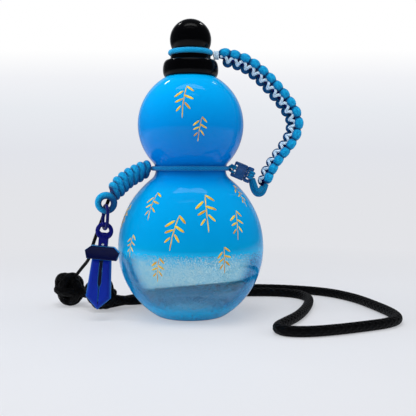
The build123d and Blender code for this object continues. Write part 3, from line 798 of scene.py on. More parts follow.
# gold ink on the bulbs: plain bamboo sprigs, a leaf modelled once and copied
sprigLook = {
    "lit": "f8d22a", "deep": "d39a14", "leaf": (0.78, 0.3, 3.7), "sink": 0.10,
    # azimuth from the front, height, turn, size share
    "sprigs": (
        (-7, 146, 0, 1.15), (10, 128, 4, 0.85),
        (-36, 78, -6, 0.95), (-12, 62, 8, 1.2), (14, 74, -4, 1.25), (40, 66, 6, 1.0), (-50, 52, 4, 0.8),
        (26, 44, -8, 0.9), (-24, 38, 5, 0.85), (62, 84, 0, 0.8), (-74, 70, 4, 0.9),
        (110, 70, 0, 1.1), (150, 60, 6, 1.0), (190, 78, -5, 1.2), (228, 56, 4, 1.0), (265, 76, -4, 1.0),
        (120, 134, 0, 0.9), (186, 142, 4, 1.1), (240, 130, -4, 0.9),
    ),
    # leaves of one sprig: across, up, turn, length share, width share
    "leaves": (
        (0.0, -6.2, 2, 0.95, 0.42), (0.35, 0.2, 6, 0.95, 0.42), (1.0, 6.0, 8, 0.8, 0.4),
        (-2.6, 4.3, 48, 0.85, 1.0), (-2.2, 0.4, 62, 0.7, 0.9), (3.6, 7.4, -46, 0.8, 1.0),
        (3.1, 2.4, -64, 0.85, 1.0), (2.7, -2.6, -38, 0.7, 0.9), (-2.3, -4.2, 40, 0.6, 0.8),
    ),
}


def makeSprigs(look):
    selectOnly()
    bpy.ops.mesh.primitive_uv_sphere_add(segments=8, ring_count=8, radius=1.0)
    first = bpy.context.object
    first.scale = at(*look["leaf"])
    freezePlace(first)
    leaves = []
    for azimuth, rise, turn, size in look["sprigs"]:
        lean = math.radians(turn)
        for across, up, twist, length, broad in look["leaves"]:
            x = size * (across * math.cos(lean) + up * math.sin(lean))
            z = rise + size * (up * math.cos(lean) - across * math.sin(lean))
            radius = bulbRadius(z)
            slope = math.atan2(bulbRadius(z + 1) - bulbRadius(z - 1), 2.0)
            around = math.radians(azimuth) + x / radius
            out = radius - look["sink"]
            leaf = first.copy()
            leaf.data = first.data.copy()
            scene.collection.objects.link(leaf)
            leaf.matrix_world = (Matrix.Translation(at(out * math.sin(around), -out * math.cos(around), z))
                                 @ Matrix.Rotation(around, 4, "Z") @ Matrix.Rotation(slope, 4, "X")
                                 @ Matrix.Rotation(math.radians(twist + turn), 4, "Y")
                                 @ Matrix.Diagonal((size * broad, 1, size * length, 1)))
            freezePlace(leaf)
            leaves.append(leaf)
    bpy.data.objects.remove(first)
    joinPieces(*leaves)
    leaves[0].name = "goldSprigs"
    smooth(leaves[0])
    return leaves[0]


# screen-printed ink with gold powder: warm, half matt, and a little thinner in places
goldInk = plainMaterial("goldScreenInk", {"Roughness": 0.42, "Metallic": 0.15}, (2400.0, 2.0, 0.00004, 0.6),
                        (160.0, 4.0, ((0.35, sprigLook["deep"]), (0.6, sprigLook["lit"]))))[0]
dress(makeSprigs(sprigLook), goldInk, "bottle", "bottle_glass")
print("stage: gold sprigs")


# the cap: compression-moulded black plastic, polished: deep black with sharp glints, and a little
# dulled in patches where it is handled
def blackPlasticMaterial():
    material, tree, shader, spot = plainMaterial("polishedBlackPlastic", {
        "IOR": 1.5, "Base Color": "020203", "Specular IOR Level": 0.13}, (260.0, 1.0, 0.00004, 0.35))
    handled = addNode(tree, "TexNoise", {"Vector": spot, "Scale": 70.0, "Detail": 6.0, "Roughness": 0.6})
    setInputs(tree, shader, {"Roughness": addNode(tree, "MapRange", (handled, 0.35, 0.7, 0.1, 0.26))})
    return material


cap = {
    "ceiling": 175.2, "skirtTop": 177.1, "collarTop": 180.2, "ballSeat": 184.3,
    "skirt": [(17.8, 165.7), (18.5, 166.6), (19.0, 168.2), (19.2, 170.2), (19.1, 172.4), (18.7, 174.4),
              (18.1, 175.8), (17.3, 176.7), (16.3, 177.1)],
    "collar": 13.9, "stem": 11.8, "inner": 16.95, "innerBottom": 166.2, "recess": 7.4, "recessRise": 2.8,
    "spigotHole": 8.6, "holeGap": 0.1, "ballRadius": 14.3, "ballMiddle": 191.16, "ballPoints": 40,
    "spigot": 8.5, "spigotLength": 4.0, "edge": 0.45,
}


def makeCap(c):
    low = c["ballSeat"] - c["spigotLength"]
    blind, recessTop = low - c["holeGap"], c["ceiling"] + c["recessRise"]
    shell = turned("capShell", [
        *c["skirt"], (c["collar"], c["skirtTop"]), (c["collar"], c["collarTop"]), (c["stem"], c["collarTop"]),
        (c["stem"], c["ballSeat"]), (c["spigotHole"], c["ballSeat"]), (c["spigotHole"], blind), (0, blind),
        (0, recessTop), (c["recess"], recessTop), (c["recess"], c["ceiling"]), (c["inner"], c["ceiling"]),
        (c["inner"], c["innerBottom"]), c["skirt"][0]])
    roundEdges(shell, c["edge"], 3, 40)
    smooth(shell, 40)
    start = -math.asin((c["ballMiddle"] - c["ballSeat"]) / c["ballRadius"])
    angles = [start + (math.pi / 2 - start) * i / c["ballPoints"] for i in range(c["ballPoints"])]
    arc = [(c["ballRadius"] * math.cos(a), c["ballMiddle"] + c["ballRadius"] * math.sin(a)) for a in angles]
    ball = turned("ballKnob", [(0, low), (c["spigot"], low), (c["spigot"], c["ballSeat"]), *arc,
                               (0, c["ballMiddle"] + c["ballRadius"])], 96)
    smooth(ball, 40)
    return shell, ball


capBlack = blackPlasticMaterial()
capShell, ballKnob = makeCap(cap)
dress(capShell, capBlack, "cap", "cap_plastic", "cap_shell")
dress(ballKnob, capBlack, "cap", "cap_plastic", "ball_knob")
print("stage: cap")


# the cord ring in the cap's groove and the whipped white collar beside it
ring = {"middle": 182.25, "radius": 13.85, "cord": 1.8}
collar = {"left": 15.9, "right": 19.5, "height": 6.0, "depth": 6.4, "middle": 180.65, "turns": 3,
          "square": 0.6, "press": 1.04, "fill": 0.98, "heartIn": 0.3}


def makeRing(r):
    points = [at(r["radius"] * math.cos(a), r["radius"] * math.sin(a), r["middle"]) for a in turnOf(120)]
    return tubes("tetherRing", [{"points": points, "radius": r["cord"], "sides": 18, "closed": True}])


def makeCollar(c):
    strand = (c["right"] - c["left"]) / c["turns"] / 2
    halfY, halfZ = c["depth"] / 2 - strand, c["height"] / 2 - strand
    pieces = []
    for k in range(c["turns"]):
        x = c["left"] + strand * (2 * k + 1)
        points = []
        for angle in turnOf(64):
            y, z = [math.copysign(abs(turn) ** c["square"], turn)
                    for turn in (math.cos(angle), math.sin(angle))]
            points.append(at(x, halfY * y, c["middle"] + halfZ * z))
        pieces.append({"points": points, "radius": strand * c["press"], "sides": 12, "closed": True})
    low, high = c["left"] + c["heartIn"], c["right"] - c["heartIn"]
    heart = [at(x, 0, c["middle"]) for x in (low, (low + high) / 2, high)]
    pieces.append({"points": heart, "radius": halfZ * c["fill"], "sides": 16, "shade": 0.2})
    return tubes("tetherCollar", pieces)


dress(makeRing(ring), cordSky, "tether_top", "blue_cord", "tether_ring")
dress(makeCollar(collar), cordWhite, "tether_top", "white_cord", "tether_ferrule")


# the woven tether: a blue cord that makes the lobes and a white cord that zigzags over a dark core
strap = {
    "route": [
        (20.1, 0, 180.4), (33.0, 0, 177.5), (41.4, 0, 173.4), (49.8, 0, 166.5), (58.2, 0, 157.6),
        (65.9, 0, 148.6), (71.5, 0, 139.7), (72.9, 0, 132.8), (70.8, 0, 125.1), (66.6, 0, 118.2),
        (60.3, 0, 110.5), (55.4, 0, 102.9), (52.0, 0, 96.0), (50.3, 0, 90.8),
    ],
    "step": 0.25, "knots": 17, "knotSteps": 44, "split": 0.56, "margin": 1.2,
    "leanTop": 20.0, "leanLow": 48.0, "turnStart": 0.5, "turnSpan": 0.3,
    # outer and inner half of the blue lobes: reach across the strap, rise out of its face, cord radius,
    # and there the white cord's reach and the dip of its own rise
    "outer": {"reach": 3.45, "rise": 3.3, "radius": 3.2, "white": 0.9, "whiteDip": 1.7},
    "inner": {"reach": 4.8, "rise": 1.7, "radius": 2.15, "white": 2.9, "whiteDip": 0.9},
    "lobeRun": 1.15, "lobeSink": 2.4, "lobeEnd": 1.5, "whiteRadius": 1.02, "whiteRise": 3.1,
    "whitePinch": 0.05,
    "endShare": 0.45, "endSwell": 1.6, "coreRadius": 1.9, "coreEnd": 0.98, "corePoints": 60,
    # the blue cord's painted shade: how far from the core it starts, how far it deepens, the inner side's
    # edge and lowest share, and the clefts between lobes
    "shadeFrom": 2.2, "shadeSpan": 3.0, "sideEdge": 0.4, "sideLow": 0.2, "cleft": 0.13,
}


def strapFrames(s):
    line = evenly(splineLine(s["route"]), s["step"])
    frames = []
    for i, here in enumerate(line):
        tangent = (line[min(i + 1, len(line) - 1)] - line[max(i - 1, 0)]).normalized()
        low = min(max((i / (len(line) - 1) - s["turnStart"]) / s["turnSpan"], 0), 1)
        twist = math.radians(s["leanTop"] + (s["leanLow"] - s["leanTop"]) * low)
        across = Quaternion(tangent, twist) @ Vector((-tangent.z, 0, tangent.x))
        frames.append((here, across, tangent.cross(across)))
    return frames


def strapPlace(frames, share, across, out):
    spot = min(max(share, 0), 1) * (len(frames) - 1)
    k = min(int(spot), len(frames) - 2)
    here, aside, forth = [low.lerp(high, spot - k) for low, high in zip(frames[k], frames[k + 1])]
    return here + (aside * across + forth * out) * mm


def strapStrands(s, frames, first, last):
    # the share of the strap between first and last, as blue, white and core strands
    edge = s["margin"] / ((len(frames) - 1) * s["step"])
    start, end = first * s["knots"], last * s["knots"]
    count = int((end - start) * s["knotSteps"])
    blue, white = [], []
    for i in range(count + 1):
        t = start + (end - start) * i / count
        turn = 2 * math.pi * t
        zig = math.sin(turn)
        half = s["outer"] if zig > 0 else s["inner"]
        taper = min(1.0, s["endShare"] + s["endSwell"] * min(t, s["knots"] - t))
        run = t - s["lobeRun"] * math.sin(2 * turn) / (4 * math.pi)
        blue.append(strapPlace(frames, edge + (1 - 2 * edge) * run / s["knots"],
                               math.copysign(abs(zig) ** 0.5, zig) * half["reach"] * taper,
                               half["rise"] * abs(zig) ** 0.7 - s["lobeSink"]))
        run = t - s["whitePinch"] * math.cos(turn)
        white.append(strapPlace(frames, edge + (1 - 2 * edge) * run / s["knots"], zig * half["white"] * taper,
                                s["whiteRise"] - half["whiteDip"] * zig ** 2))

    def fat(share, angle, along):
        zig = math.sin(2 * math.pi * (start + (end - start) * share))
        radius = (s["outer"] if zig > 0 else s["inner"])["radius"]
        return s["lobeEnd"] + (radius - s["lobeEnd"]) * abs(zig) ** 0.4
    points = s["corePoints"]
    shares = [min(first + (last - first) * i / points, s["coreEnd"]) for i in range(points)]
    core = [strapPlace(frames, share, 0, 0) for share in shares]
    return ({"points": blue, "radius": fat}, {"points": white, "radius": s["whiteRadius"], "sides": 12},
            {"points": core, "radius": s["coreRadius"]})


def shadeStrap(obj, frames, s):
    # painted shade: deep places near the core, between two lobes and on the inner side are darker
    edge = s["margin"] / ((len(frames) - 1) * s["step"])

    def rule(spot, here, index, _):
        away = spot - here
        side, front = away.dot(frames[index][1]) / mm, away.dot(frames[index][2]) / mm
        depth = min(max((math.hypot(side, front) - s["shadeFrom"]) / s["shadeSpan"], 0), 1)
        if side < s["sideEdge"]:
            return min(depth, max(s["sideLow"], s["sideLow"] + 0.5 * (side + 1.2)))
        phase = (index / (len(frames) - 1) - edge) / (1 - 2 * edge) * s["knots"] - 0.25
        return depth * min(1, max(0.1, (0.5 - abs(phase - round(phase))) / s["cleft"]))
    shadeBy(obj, [line[0] for line in frames], rule)


strapLines = strapFrames(strap)
for part, first, last in (("Upper", 0.0, strap["split"]), ("Lower", strap["split"], 1.0)):
    kinds = (("strapBlue", cordSky, "blue_cord", "strap_blue_weave"),
             ("strapWhite", cordWhite, "white_cord", "strap_white_weave"),
             ("strapCore", cordNavy, "blue_cord", "strap_core"))
    for strand, (kind, material, slot, node) in zip(strapStrands(strap, strapLines, first, last), kinds):
        piece = tubes(kind + part, [strand])
        if kind == "strapBlue":
            shadeStrap(piece, strapLines, strap)
        dress(piece, material, None, slot, node)
        if part == "Upper":
            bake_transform(piece)
        else:
            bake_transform(piece)
print("stage: tether")


# the buckle
buckle = {
    "x": 35.5, "y": -3.0, "z": 100.1, "tilt": 23.0, "width": 10.4, "thickness": 6.2, "wall": 1.1,
    "socket": 9.2, "share": 0.72, "depth": 6.2, "slot": 1.5, "bar": 1.0, "margin": 2.0, "tongue": 4.4,
    "tongueSlot": 2.0, "tongueBar": 1.1, "gap": 0.3, "latch": 5.6, "latchWidth": 1.4, "guide": 1.8,
    "round": 0.8, "railRadius": 0.85, "railIn": 0.3, "railDown": 0.5, "windowIn": 1.6, "window": 2.4,
    "grooveHalf": 2.4, "grooveDepth": 0.3, "edge": 0.15, "armIn": 0.8, "armEdge": 0.35,
}
# moulded glass-filled nylon: satin, with a faint cloud and the fine grain of its fibres
buckleNylon = plainMaterial("mouldedBlueNylon", {"Roughness": 0.36, "IOR": 1.53}, (1500.0, 2.0, 0.00006, 0.5),
                            (160.0, 4.0, ((0.3, "043a70"), (0.7, "06508a"))))[0]

# the strap's lower end: three strands, lashed round the tongue's bar
endLoop = {
    "routes": (
        [(49.9, -2.4, 89.8), (48.8, -3.1, 87.0), (46.0, -4.0, 87.0), (44.5, -4.6, 91.0), (43.0, -4.8, 95.2)],
        [(49.9, 1.2, 89.8), (48.8, 0.5, 87.0), (46.0, -0.4, 87.0), (44.5, -1.0, 91.0), (43.2, -1.2, 95.4)],
        [(52.6, -1.8, 91.6), (51.2, -1.8, 86.4), (48.6, -2.0, 84.2), (44.9, -2.4, 84.8), (42.4, -2.8, 90.2),
         (42.0, -3.0, 94.6)],
    ),
    "radius": 1.7, "step": 0.5, "shade": 0.27, "lashRadius": 1.02, "lashRises": (-1.4, 0.5, 2.3),
}


def lashing(b, bar, reach, radius, rises):
    # closed turns of cord round a buckle's bar, through its slot
    tilt, pieces = math.radians(b["tilt"]), []
    for rise in rises:
        points = []
        for angle in turnOf(32):
            x, y = bar + math.cos(angle) * reach, (b["thickness"] / 2 + radius * 0.8) * math.sin(angle)
            points.append(at(b["x"] + x * math.cos(tilt) + rise * math.sin(tilt), b["y"] + y,
                             b["z"] - x * math.sin(tilt) + rise * math.cos(tilt)))
        pieces.append({"points": points, "radius": radius, "sides": 12, "closed": True, "shade": 0.3})
    return pieces


def mouthOf(b):
    # the socket's open end, seen from the buckle's own origin
    return b["socket"] * (1 - b["share"])


def makeEndLoop(e, b):
    pieces = [{"points": evenly(splineLine(route), e["step"]), "radius": e["radius"], "shade": e["shade"]}
              for route in e["routes"]]
    bar = mouthOf(b) + b["gap"] + b["tongue"] - b["tongueBar"] / 2
    turns = lashing(b, bar, (b["tongueBar"] + b["tongueSlot"]) / 2, e["lashRadius"], e["lashRises"])
    return tubes("strapEndLoop", pieces + turns)


def rails(b, x0, x1, *sides):
    # rounded grip bars along the buckle's edges, on its front (-1) or its back (1)
    line = [x0 + (x1 - x0) * i / 12 for i in range(13)]
    y, z = b["thickness"] / 2 - b["railIn"], b["width"] / 2 - b["railDown"]
    return [tubes("rail", [{"points": [at(x, y * face, z * side) for x in line], "radius": b["railRadius"],
                            "sides": 12, "dome": 0.9}]) for face in sides for side in (-1, 1)]


def makeSocket(b):
    mouth = mouthOf(b)
    left, halfY, halfZ = mouth - b["socket"], b["thickness"] / 2, b["width"] / 2
    innerY, innerZ = halfY - b["wall"], halfZ - b["wall"]
    slot, pocket = left + b["bar"], mouth - b["depth"]
    window = pocket + b["windowIn"]
    body = block("buckleSocket", (left, -halfY, -halfZ), (mouth, halfY, halfZ))
    roundEdges(body, b["round"])
    for name, low, high in (
            ("pocket", (pocket, -innerY, -innerZ), (mouth + 1, innerY, innerZ)),
            ("slot", (slot, -halfY - 1, -halfZ + b["margin"]),
             (slot + b["slot"], halfY + 1, halfZ - b["margin"])),
            ("window", (window, -innerY, -halfZ - 1), (window + b["window"], innerY, halfZ + 1)),
            ("faceGroove", (slot + b["slot"] + 1.0, -halfY - 1, -b["grooveHalf"]),
             (mouth - 1.0, -halfY + b["grooveDepth"], b["grooveHalf"]))):
        combine(body, block(name, low, high), "DIFFERENCE")
    roundEdges(body, b["edge"], 2, 50)
    joinPieces(body, *rails(b, left + 0.6, mouth - 0.5, -1, 1))
    return setDown(body, b, 35)


def makeTongue(b):
    left, halfY, halfZ = mouthOf(b) + b["gap"], b["thickness"] / 2, b["width"] / 2
    right = left + b["tongue"]
    slot = right - b["tongueBar"]
    armX = left - b["latch"] - b["gap"]
    armY, reach = halfY - b["wall"] - b["gap"], halfZ - b["wall"] - b["gap"]
    body = block("buckleTongue", (left, -halfY, -halfZ), (right, halfY, halfZ))
    roundEdges(body, b["round"])
    combine(body, block("slot", (slot - b["tongueSlot"], -halfY - 1, -halfZ + b["margin"]),
                        (slot, halfY + 1, halfZ - b["margin"])), "DIFFERENCE")
    for low, high in ((-reach, -reach + b["latchWidth"]), (reach - b["latchWidth"], reach),
                      (-b["guide"] / 2, b["guide"] / 2)):
        arm = block("arm", (armX, -armY, low), (left + b["armIn"], armY, high))
        roundEdges(arm, b["armEdge"], 2)
        combine(body, arm, "UNION")
    joinPieces(body, *rails(b, left + 0.5, right - 0.6, -1))
    return setDown(body, b, 35)


dress(makeEndLoop(endLoop, buckle), cordSky, "buckle_plug", "blue_cord", "strap_end_loop")
dress(makeSocket(buckle), buckleNylon, "bottle", "buckle_plastic", "buckle_socket")
dress(makeTongue(buckle), buckleNylon, "buckle_plug", "buckle_plastic", "buckle_tongue")
print("stage: buckle")


# the cord round the waist, open at the buckle, and its two ends that run to the socket's bar
waist = {
    "height": 102.6, "radius": 26.35, "cord": 1.6, "start": 10.0, "turn": 332.0, "points": 150,
    "ends": ([(25.1, -8.0, 102.6), (26.0, -5.2, 102.8), (29.2, -4.4, 104.9)],
             [(26.0, 4.5, 102.6), (26.7, 0.4, 102.4), (27.7, -1.0, 101.3)]),
    "tie": 1.1, "tieStep": 0.4, "shade": 0.32, "lashRadius": 0.78, "lashRises": (-2.4, 0.2, 1.6),
}


def makeWaist(w, b):
    angles = [math.radians(w["start"] + w["turn"] * i / w["points"]) for i in range(w["points"] + 1)]
    points = [at(w["radius"] * math.cos(a), w["radius"] * math.sin(a), w["height"]) for a in angles]
    cord = tubes("waistCord", [{"points": points, "radius": w["cord"], "sides": 16}])
    ends = [{"points": evenly(splineLine(route), w["tieStep"]), "radius": w["tie"], "sides": 12,
             "shade": w["shade"]} for route in w["ends"]]
    bar = mouthOf(b) - b["socket"] + b["bar"] / 2
    turns = lashing(b, bar, (b["bar"] + b["slot"]) / 2, w["lashRadius"], w["lashRises"])
    return cord, tubes("waistTie", ends + turns)


waistCord, waistTie = makeWaist(waist, buckle)
dress(waistCord, cordTeal, "bottle", "blue_cord", "waist_cord")
dress(waistTie, cordSky, "bottle", "blue_cord", "waist_tie")


# the tassel: a snake knot of seven turns over its core, and the eye at its end
tassel = {
    "route": [(-28.3, -4.6, 102.8), (-38.6, -10.5, 98.6), (-47.6, -16.5, 91.4), (-52.2, -21.4, 85.4)],
    "step": 0.25, "knots": 7, "core": 1.9, "ends": 3.0, "endShare": 0.9,
    "upper": {"cord": 2.35, "reach": 3.0, "shift": 1.5, "lean": 16.0, "step": -0.8, "front": 0.7},
    "lower": {"cord": 2.3, "reach": 3.2, "shift": -1.3, "lean": 24.0, "step": 1.2, "front": 0.0},
    # the knots' painted shade: near, far, the light's direction and the lowest share
    "light": (3.4, 6.0, (-0.5, -0.5, 0.75), 0.35),
}
# the eye's light entry places its painted shade the same way
eye = {"x": -55.8, "y": -24.0, "z": 79.7, "radius": 5.4, "cord": 2.0, "half": 5.3, "halfHeight": 5.2,
       "thick": 2.4, "bend": 0.3, "light": (3.0, 6.4, (-0.85, -0.3, 0.4), 0.2)}


def makeTassel(t):
    line = evenly(splineLine(t["route"]), t["step"])
    total = (len(line) - 1) * t["step"]
    core = tubes("tasselCore", [{"points": line[::4], "radius": t["core"], "shade": 0.1}])
    turns = []
    for k in range(t["knots"]):
        small = t["endShare"] if k in (0, t["knots"] - 1) else 1.0
        for row in (t["upper"], t["lower"]):
            along = t["ends"] + (total - 2 * t["ends"]) * k / (t["knots"] - 1) + row["step"]
            index = min(max(int(along / total * (len(line) - 1)), 2), len(line) - 3)
            tangent = (line[index + 2] - line[index - 2]).normalized()
            up = Vector((0, -1, 0)).cross(tangent).normalized()
            up = up if up.z > 0 else -up
            out = tangent.cross(up).normalized()
            out = out if out.y < 0 else -out
            lean = math.radians(row["lean"])
            across = (up * math.cos(lean) - tangent * math.sin(lean)).normalized()
            centre = line[index] + (up * row["shift"] * small + out * row["front"]) * mm
            points = [centre + (across * math.cos(a) + out * math.sin(a)) * row["reach"] * small * mm
                      for a in turnOf(36)]
            turns.append({"points": points, "radius": row["cord"] * small, "closed": True})
    return core, tubes("tasselKnots", turns), line


def makeEye(e):
    centre = at(e["x"], e["y"], e["z"] - e["radius"] + e["halfHeight"])
    points = [centre + at(math.cos(a) * e["half"], e["bend"] * math.sin(2 * a), math.sin(a) * e["halfHeight"])
              for a in turnOf(72)]

    def swell(share, angle, along):
        return e["cord"] + (e["thick"] - e["cord"]) * (0.5 + 0.5 * math.sin(2 * math.pi * share))
    return tubes("tasselEye", [{"points": points, "radius": swell, "sides": 16, "closed": True}])


tasselCore, tasselKnots, tasselLine = makeTassel(tassel)
shadeFrom(tasselKnots, tasselLine, *tassel["light"])
dress(tasselCore, cordSky, "bottle", "blue_cord", "tassel_core")
dress(tasselKnots, cordSky, "bottle", "blue_cord", "tassel_knots")
tasselEye = dress(makeEye(eye), cordSky, "bottle", "blue_cord", "tassel_eye")
shadeFrom(tasselEye, [at(eye["x"], eye["y"], eye["z"])], *eye["light"])
print("stage: waist and tassel")


# the charm: die-cast zinc, lacquered deep blue, with a darkened fuller and pale edges that are a painted
# highlight;
# its own origin is the middle of the pommel's ring, and its lengths run down from there
charm = {
    "x": -57.1, "y": -24.0, "z": 60.9, "tilt": 5.7, "ringRadius": 4.6, "rim": 1.4, "gripHalf": 3.1,
    "gripTop": 5.2, "gripThick": 4.0, "gripIn": 0.6, "gripPanel": (0.7, -0.3), "gripEdge": 0.3, "thick": 5.0,
    "guardTop": 10.1, "guardTopHalf": 7.5, "guardTipHalf": 11.6, "guardTipDrop": 3.5, "guardBottomHalf": 10.1,
    "guardHeight": 9.0, "guardPanel": ((1.1, 0), (0.5, -0.45)), "guardEdge": 0.5,
    "webTop": 3.0, "webThick": 1.0, "webEdge": 0.25, "eyeHalf": 3.1, "eyeLow": -1.0, "eyeCorner": 0.9,
    "seat": 0.1, "bladeTopHalf": 6.6, "bellyHalf": 8.45, "bellyDrop": 25.5, "bladeLength": 34.0,
    "bladeThick": 4.0, "bevel": 2.4, "bevelDepth": 1.3, "bladeEdge": 0.3,
    "fullerHalf": 1.15, "fullerDepth": 0.7, "fullerLength": 19.0, "tang": (1.4, 0.8, 7.2),
    "pinDrop": 8.7, "pinRadius": 0.9, "pinOut": 0.4, "pinHead": (0.3, 0.18), "pinEdge": 0.08,
}
# colours of the charm: the pale edge colour is a painted highlight, and the groove colour darkens the fuller
charmLook = {"grooveHex": "01041c", "edgeHighlightHex": "3f9fe0", "panelHex": "001c88", "panelLowHex": "002aa0",
             "guardHex": "020730", "pommelHex": "020866", "driftHex": "020a44", "span": 60, "drift": 0.3,
             "fullerDarkShare": 1.15, "highlightFrom": 0.84, "highlightTo": 0.6, "highlightShare": 0.85}

# the thin loop between the eye and the charm
link = {"cord": 1.1, "half": 5.4, "gap": 0.6, "turn": 66.0, "step": 0.5}


def makeLink(l, c, e):
    tilt, turn = math.radians(c["tilt"]), math.radians(l["turn"])
    rim = Vector((c["x"] + c["ringRadius"] * math.sin(tilt), c["y"],
                  c["z"] + c["ringRadius"] * math.cos(tilt)))
    eyeMiddle = Vector((e["x"], e["y"], e["z"]))
    lean = (rim - eyeMiddle).normalized()
    wire = eyeMiddle + lean * e["radius"]
    topShift = l["half"] - e["cord"] - l["gap"] - l["cord"]
    lowShift = l["half"] - c["rim"] - l["gap"] - l["cord"]
    straight = (rim - wire).length - topShift - lowShift
    middle = wire + lean * (topShift + straight / 2)
    side = Vector((math.cos(turn), -math.sin(turn), 0))
    side = (side - lean * side.dot(lean)).normalized()
    points = []
    for end in (1, -1):
        for i in range(25):
            angle = math.pi * i / 24 - math.pi / 2
            down, across = straight / 2 + l["half"] * math.cos(angle), l["half"] * math.sin(angle)
            points.append((middle + (lean * down + side * across) * end) * mm)
    points = evenly(points + [points[0]], l["step"])[:-1]
    return tubes("charmLink", [{"points": points, "radius": l["cord"], "sides": 12, "closed": True}])


def enamelMaterial(c, look):
    # glossy lacquer on a cast: dark guard, blue panels, a darkened fuller and pale edges painted as a
    # highlight
    material, tree, shader = newMaterial("blueLacqueredZinc", {
        "Roughness": 0.28, "IOR": 1.52, "Specular IOR Level": 0.12})
    spot, normal = [addNode(tree, "TexCoord", take=what) for what in ("Object", "Normal")]
    own = addNode(tree, "Mapping", {"Vector": spot, "Rotation": (0, math.radians(c["tilt"]), 0),
                                    "Location": at(c["x"], c["y"], c["z"])}, vector_type="TEXTURE")
    down = addNode(tree, "MapRange", (addNode(tree, "SeparateXYZ", (own,), "Z"), 0.0, -look["span"] * mm))
    guard, blade = c["guardTop"] / look["span"], (c["guardTop"] + c["guardHeight"]) / look["span"]
    base = addNode(tree, "ValToRGB", (down,), stops=(
        (0.0, look["pommelHex"]), (guard - 0.01, look["pommelHex"]), (guard, look["guardHex"]),
        (blade, look["guardHex"]), (blade + 0.005, look["panelHex"]), (0.9, look["panelLowHex"])))
    drift = addNode(tree, "TexNoise", {"Vector": spot, "Scale": 90.0, "Detail": 3.0})
    part = addNode(tree, "Math", (drift, look["drift"]), operation="MULTIPLY")
    base = addNode(tree, "Mix", {0: part, 6: base, 7: look["driftHex"]}, 2, data_type="RGBA")
    # the fuller darkened, as wide as its groove
    side = addNode(tree, "Math", (addNode(tree, "SeparateXYZ", (own,), "X"),), operation="ABSOLUTE")
    width = addNode(tree, "ValToRGB", (down,), stops=(
        (0.0, 0.0), (blade, 0.0), (blade + 0.01, 1.0), (blade + 0.25, 1.0), (blade + 0.32, 0.3), (0.8, 0.24),
        (0.84, 0.0)))
    width = addNode(tree, "Math", (width, c["fullerHalf"] * look["fullerDarkShare"] * mm), operation="MULTIPLY")
    darkFuller = addNode(tree, "Math", (side, width), operation="LESS_THAN")
    base = addNode(tree, "Mix", {0: darkFuller, 6: base, 7: look["grooveHex"]}, 2, data_type="RGBA")
    # painted highlight: pale edges below the grip, where the surface turns away from the front and the back
    flat = addNode(tree, "Math", (addNode(tree, "SeparateXYZ", (normal,), "Y"),), operation="ABSOLUTE")
    paintedLightShare = addNode(tree, "MapRange", (flat, look["highlightFrom"], look["highlightTo"]))
    below = addNode(tree, "Math", (down, guard), operation="GREATER_THAN")
    highlighted = addNode(tree, "Math", (paintedLightShare, below), operation="MULTIPLY")
    highlighted = addNode(tree, "Math", (highlighted, look["highlightShare"]), operation="MULTIPLY")
    base = addNode(tree, "Mix", {0: highlighted, 6: base, 7: look["edgeHighlightHex"]}, 2, data_type="RGBA")
    bump = addNode(tree, "Bump", {"Height": drift, "Distance": 0.00005, "Strength": 0.4})
    setInputs(tree, shader, {"Base Color": base, "Normal": bump})
    return material


def mirrored(points):
    # the same points again on the left, in the order that closes the outline
    return points + [(-x, z) for x, z in points[::-1]]


def makeHilt(c):
    bottom = c["guardTop"] + c["guardHeight"]
    tip = c["guardTop"] + c["guardTipDrop"]
    outline = [(-c["guardTopHalf"], -c["guardTop"]), (c["guardTopHalf"], -c["guardTop"]),
               (c["guardTipHalf"], -tip), (c["guardBottomHalf"], -bottom),
               (-c["guardBottomHalf"], -bottom), (-c["guardTipHalf"], -tip)]
    guard = outlinePlate("swordHilt", outline, c["thick"])
    for side in (-1, 1):
        # each face is drawn in to a sunk middle panel
        inset(guard, lambda face: face.normal.y * side > 0.9, *c["guardPanel"])
    roundEdges(guard, c["guardEdge"], 2, 25)
    rim = [at(c["ringRadius"] * math.cos(a), 0, c["ringRadius"] * math.sin(a)) for a in turnOf(64)]
    pommel = tubes("pommel", [{"points": rim, "radius": c["rim"], "sides": 16, "closed": True}])
    grip = block("grip", (-c["gripHalf"], -c["gripThick"] / 2, -c["guardTop"] - c["gripIn"]),
                 (c["gripHalf"], c["gripThick"] / 2, -c["gripTop"] + c["gripIn"]))
    inset(grip, lambda face: abs(face.normal.y) > 0.9, c["gripPanel"])
    roundEdges(grip, c["gripEdge"], 2, 25)
    # a thin web closes the lower part of the pommel's ring, below the link
    angles = [math.radians(a) for a in range(-222, 43, 8)]
    disc = [(c["ringRadius"] * math.cos(a), c["ringRadius"] * math.sin(a)) for a in angles]
    half, low, corner = c["eyeHalf"], c["eyeLow"], c["eyeLow"] + c["eyeCorner"]
    opening = mirrored([(half, c["webTop"]), (half, corner), (half * 0.6, low)])
    web = outlinePlate("pommelWeb", disc + opening, c["webThick"])
    roundEdges(web, c["webEdge"], 2, 25)
    joinPieces(guard, pommel, grip, web)
    return setDown(guard, c, 30)


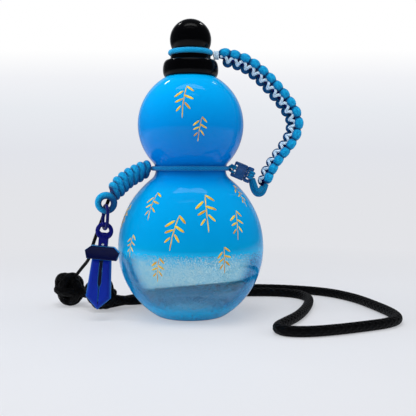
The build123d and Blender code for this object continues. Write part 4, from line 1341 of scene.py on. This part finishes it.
def makeBlade(c):
    top = c["guardTop"] + c["guardHeight"] + c["seat"]
    belly, end = top + c["bellyDrop"], top + c["bladeLength"]
    outline = [(-c["bladeTopHalf"], -top), (c["bladeTopHalf"], -top), (c["bellyHalf"], -belly), (0, -end),
               (-c["bellyHalf"], -belly)]
    blade = outlinePlate("swordBlade", outline, c["bladeThick"] - 2 * c["bevelDepth"])
    for side in (-1, 1):
        inset(blade, lambda face: face.normal.y * side > 0.9, (c["bevel"], c["bevelDepth"]))
    # the fuller: a long groove on each face, narrower towards its end
    half, narrow = c["fullerHalf"], top + c["fullerLength"]
    fuller = mirrored([(half * 0.8, 1 - top), (half, -top - 8), (half * 1.1, 3 - narrow),
                       (half * 0.3, -narrow), (half * 0.25, 6 - end)])
    for side in (-1, 1):
        cutter = outlinePlate("fuller", fuller, c["fullerDepth"] * 2)
        cutter.location = (0, side * c["bladeThick"] / 2 * mm, 0)
        freezePlace(cutter)
        combine(blade, cutter, "DIFFERENCE")
    wide, thick, high = c["tang"]
    joinPieces(blade, block("tang", (-wide, -thick, -top - 0.4), (wide, thick, -high)))
    roundEdges(blade, c["bladeEdge"], 2, 60)
    return setDown(blade, c, 20)


def makePin(c):
    selectOnly()
    bpy.ops.mesh.primitive_cylinder_add(
        radius=c["pinRadius"] * mm, depth=(c["gripThick"] + c["pinOut"]) * mm, vertices=32,
        location=(0, 0, -c["pinDrop"] * mm), rotation=(math.pi / 2, 0, 0))
    pin = bpy.context.object
    pin.name = "gripPin"
    freezePlace(pin)
    inset(pin, lambda face: abs(face.normal.y) > 0.9, c["pinHead"])
    roundEdges(pin, c["pinEdge"], 2, 30)
    return setDown(pin, c, 40)


charmEnamel = enamelMaterial(charm, charmLook)
# turned steel: bright, with fine tool marks
pinSteel = plainMaterial("turnedSteel", {"Roughness": 0.25, "Metallic": 1.0, "Base Color": "d4d7dc"},
                         (2500.0, 1.0, 0.00003, 0.6))[0]
dress(makeLink(link, charm, eye), cordNavy, "link", "navy_cord", "charm_link")
dress(makeHilt(charm), charmEnamel, "sword", "charm_enamel", "sword_hilt")
dress(makeBlade(charm), charmEnamel, "sword", "charm_enamel", "sword_blade")
dress(makePin(charm), pinSteel, "sword", "pin_steel", "grip_pin")
print("stage: charm")


# the two pieces inside the cap keep their CAD shape and get their real finish:
# moulded polypropylene, near black, waxy and dull, with faint flow marks
sleeveBlack = plainMaterial("mouldedBlackPolypropylene", {"Roughness": 0.45}, (220.0, 3.0, 0.00004, 0.5),
                            (220.0, 3.0, ((0.3, "161618"), (0.7, "202023"))))[0]
# and silicone rubber, milky and soft, that lets a little light in
sealRubber = plainMaterial("siliconeRubber", {
    "Roughness": 0.5, "IOR": 1.41, "Subsurface Weight": 0.15, "Subsurface Radius": (0.002, 0.002, 0.002)},
    (300.0, 3.0, 0.00003, 0.4), (300.0, 3.0, ((0.3, "d9dcdd"), (0.7, "e6e8e8"))))[0]
for node, material in (("thread_insert", sleeveBlack), ("cap_seal", sealRubber)):
    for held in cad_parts[node].material_slots:
        held.material = material
print("stage: sleeve and seal")
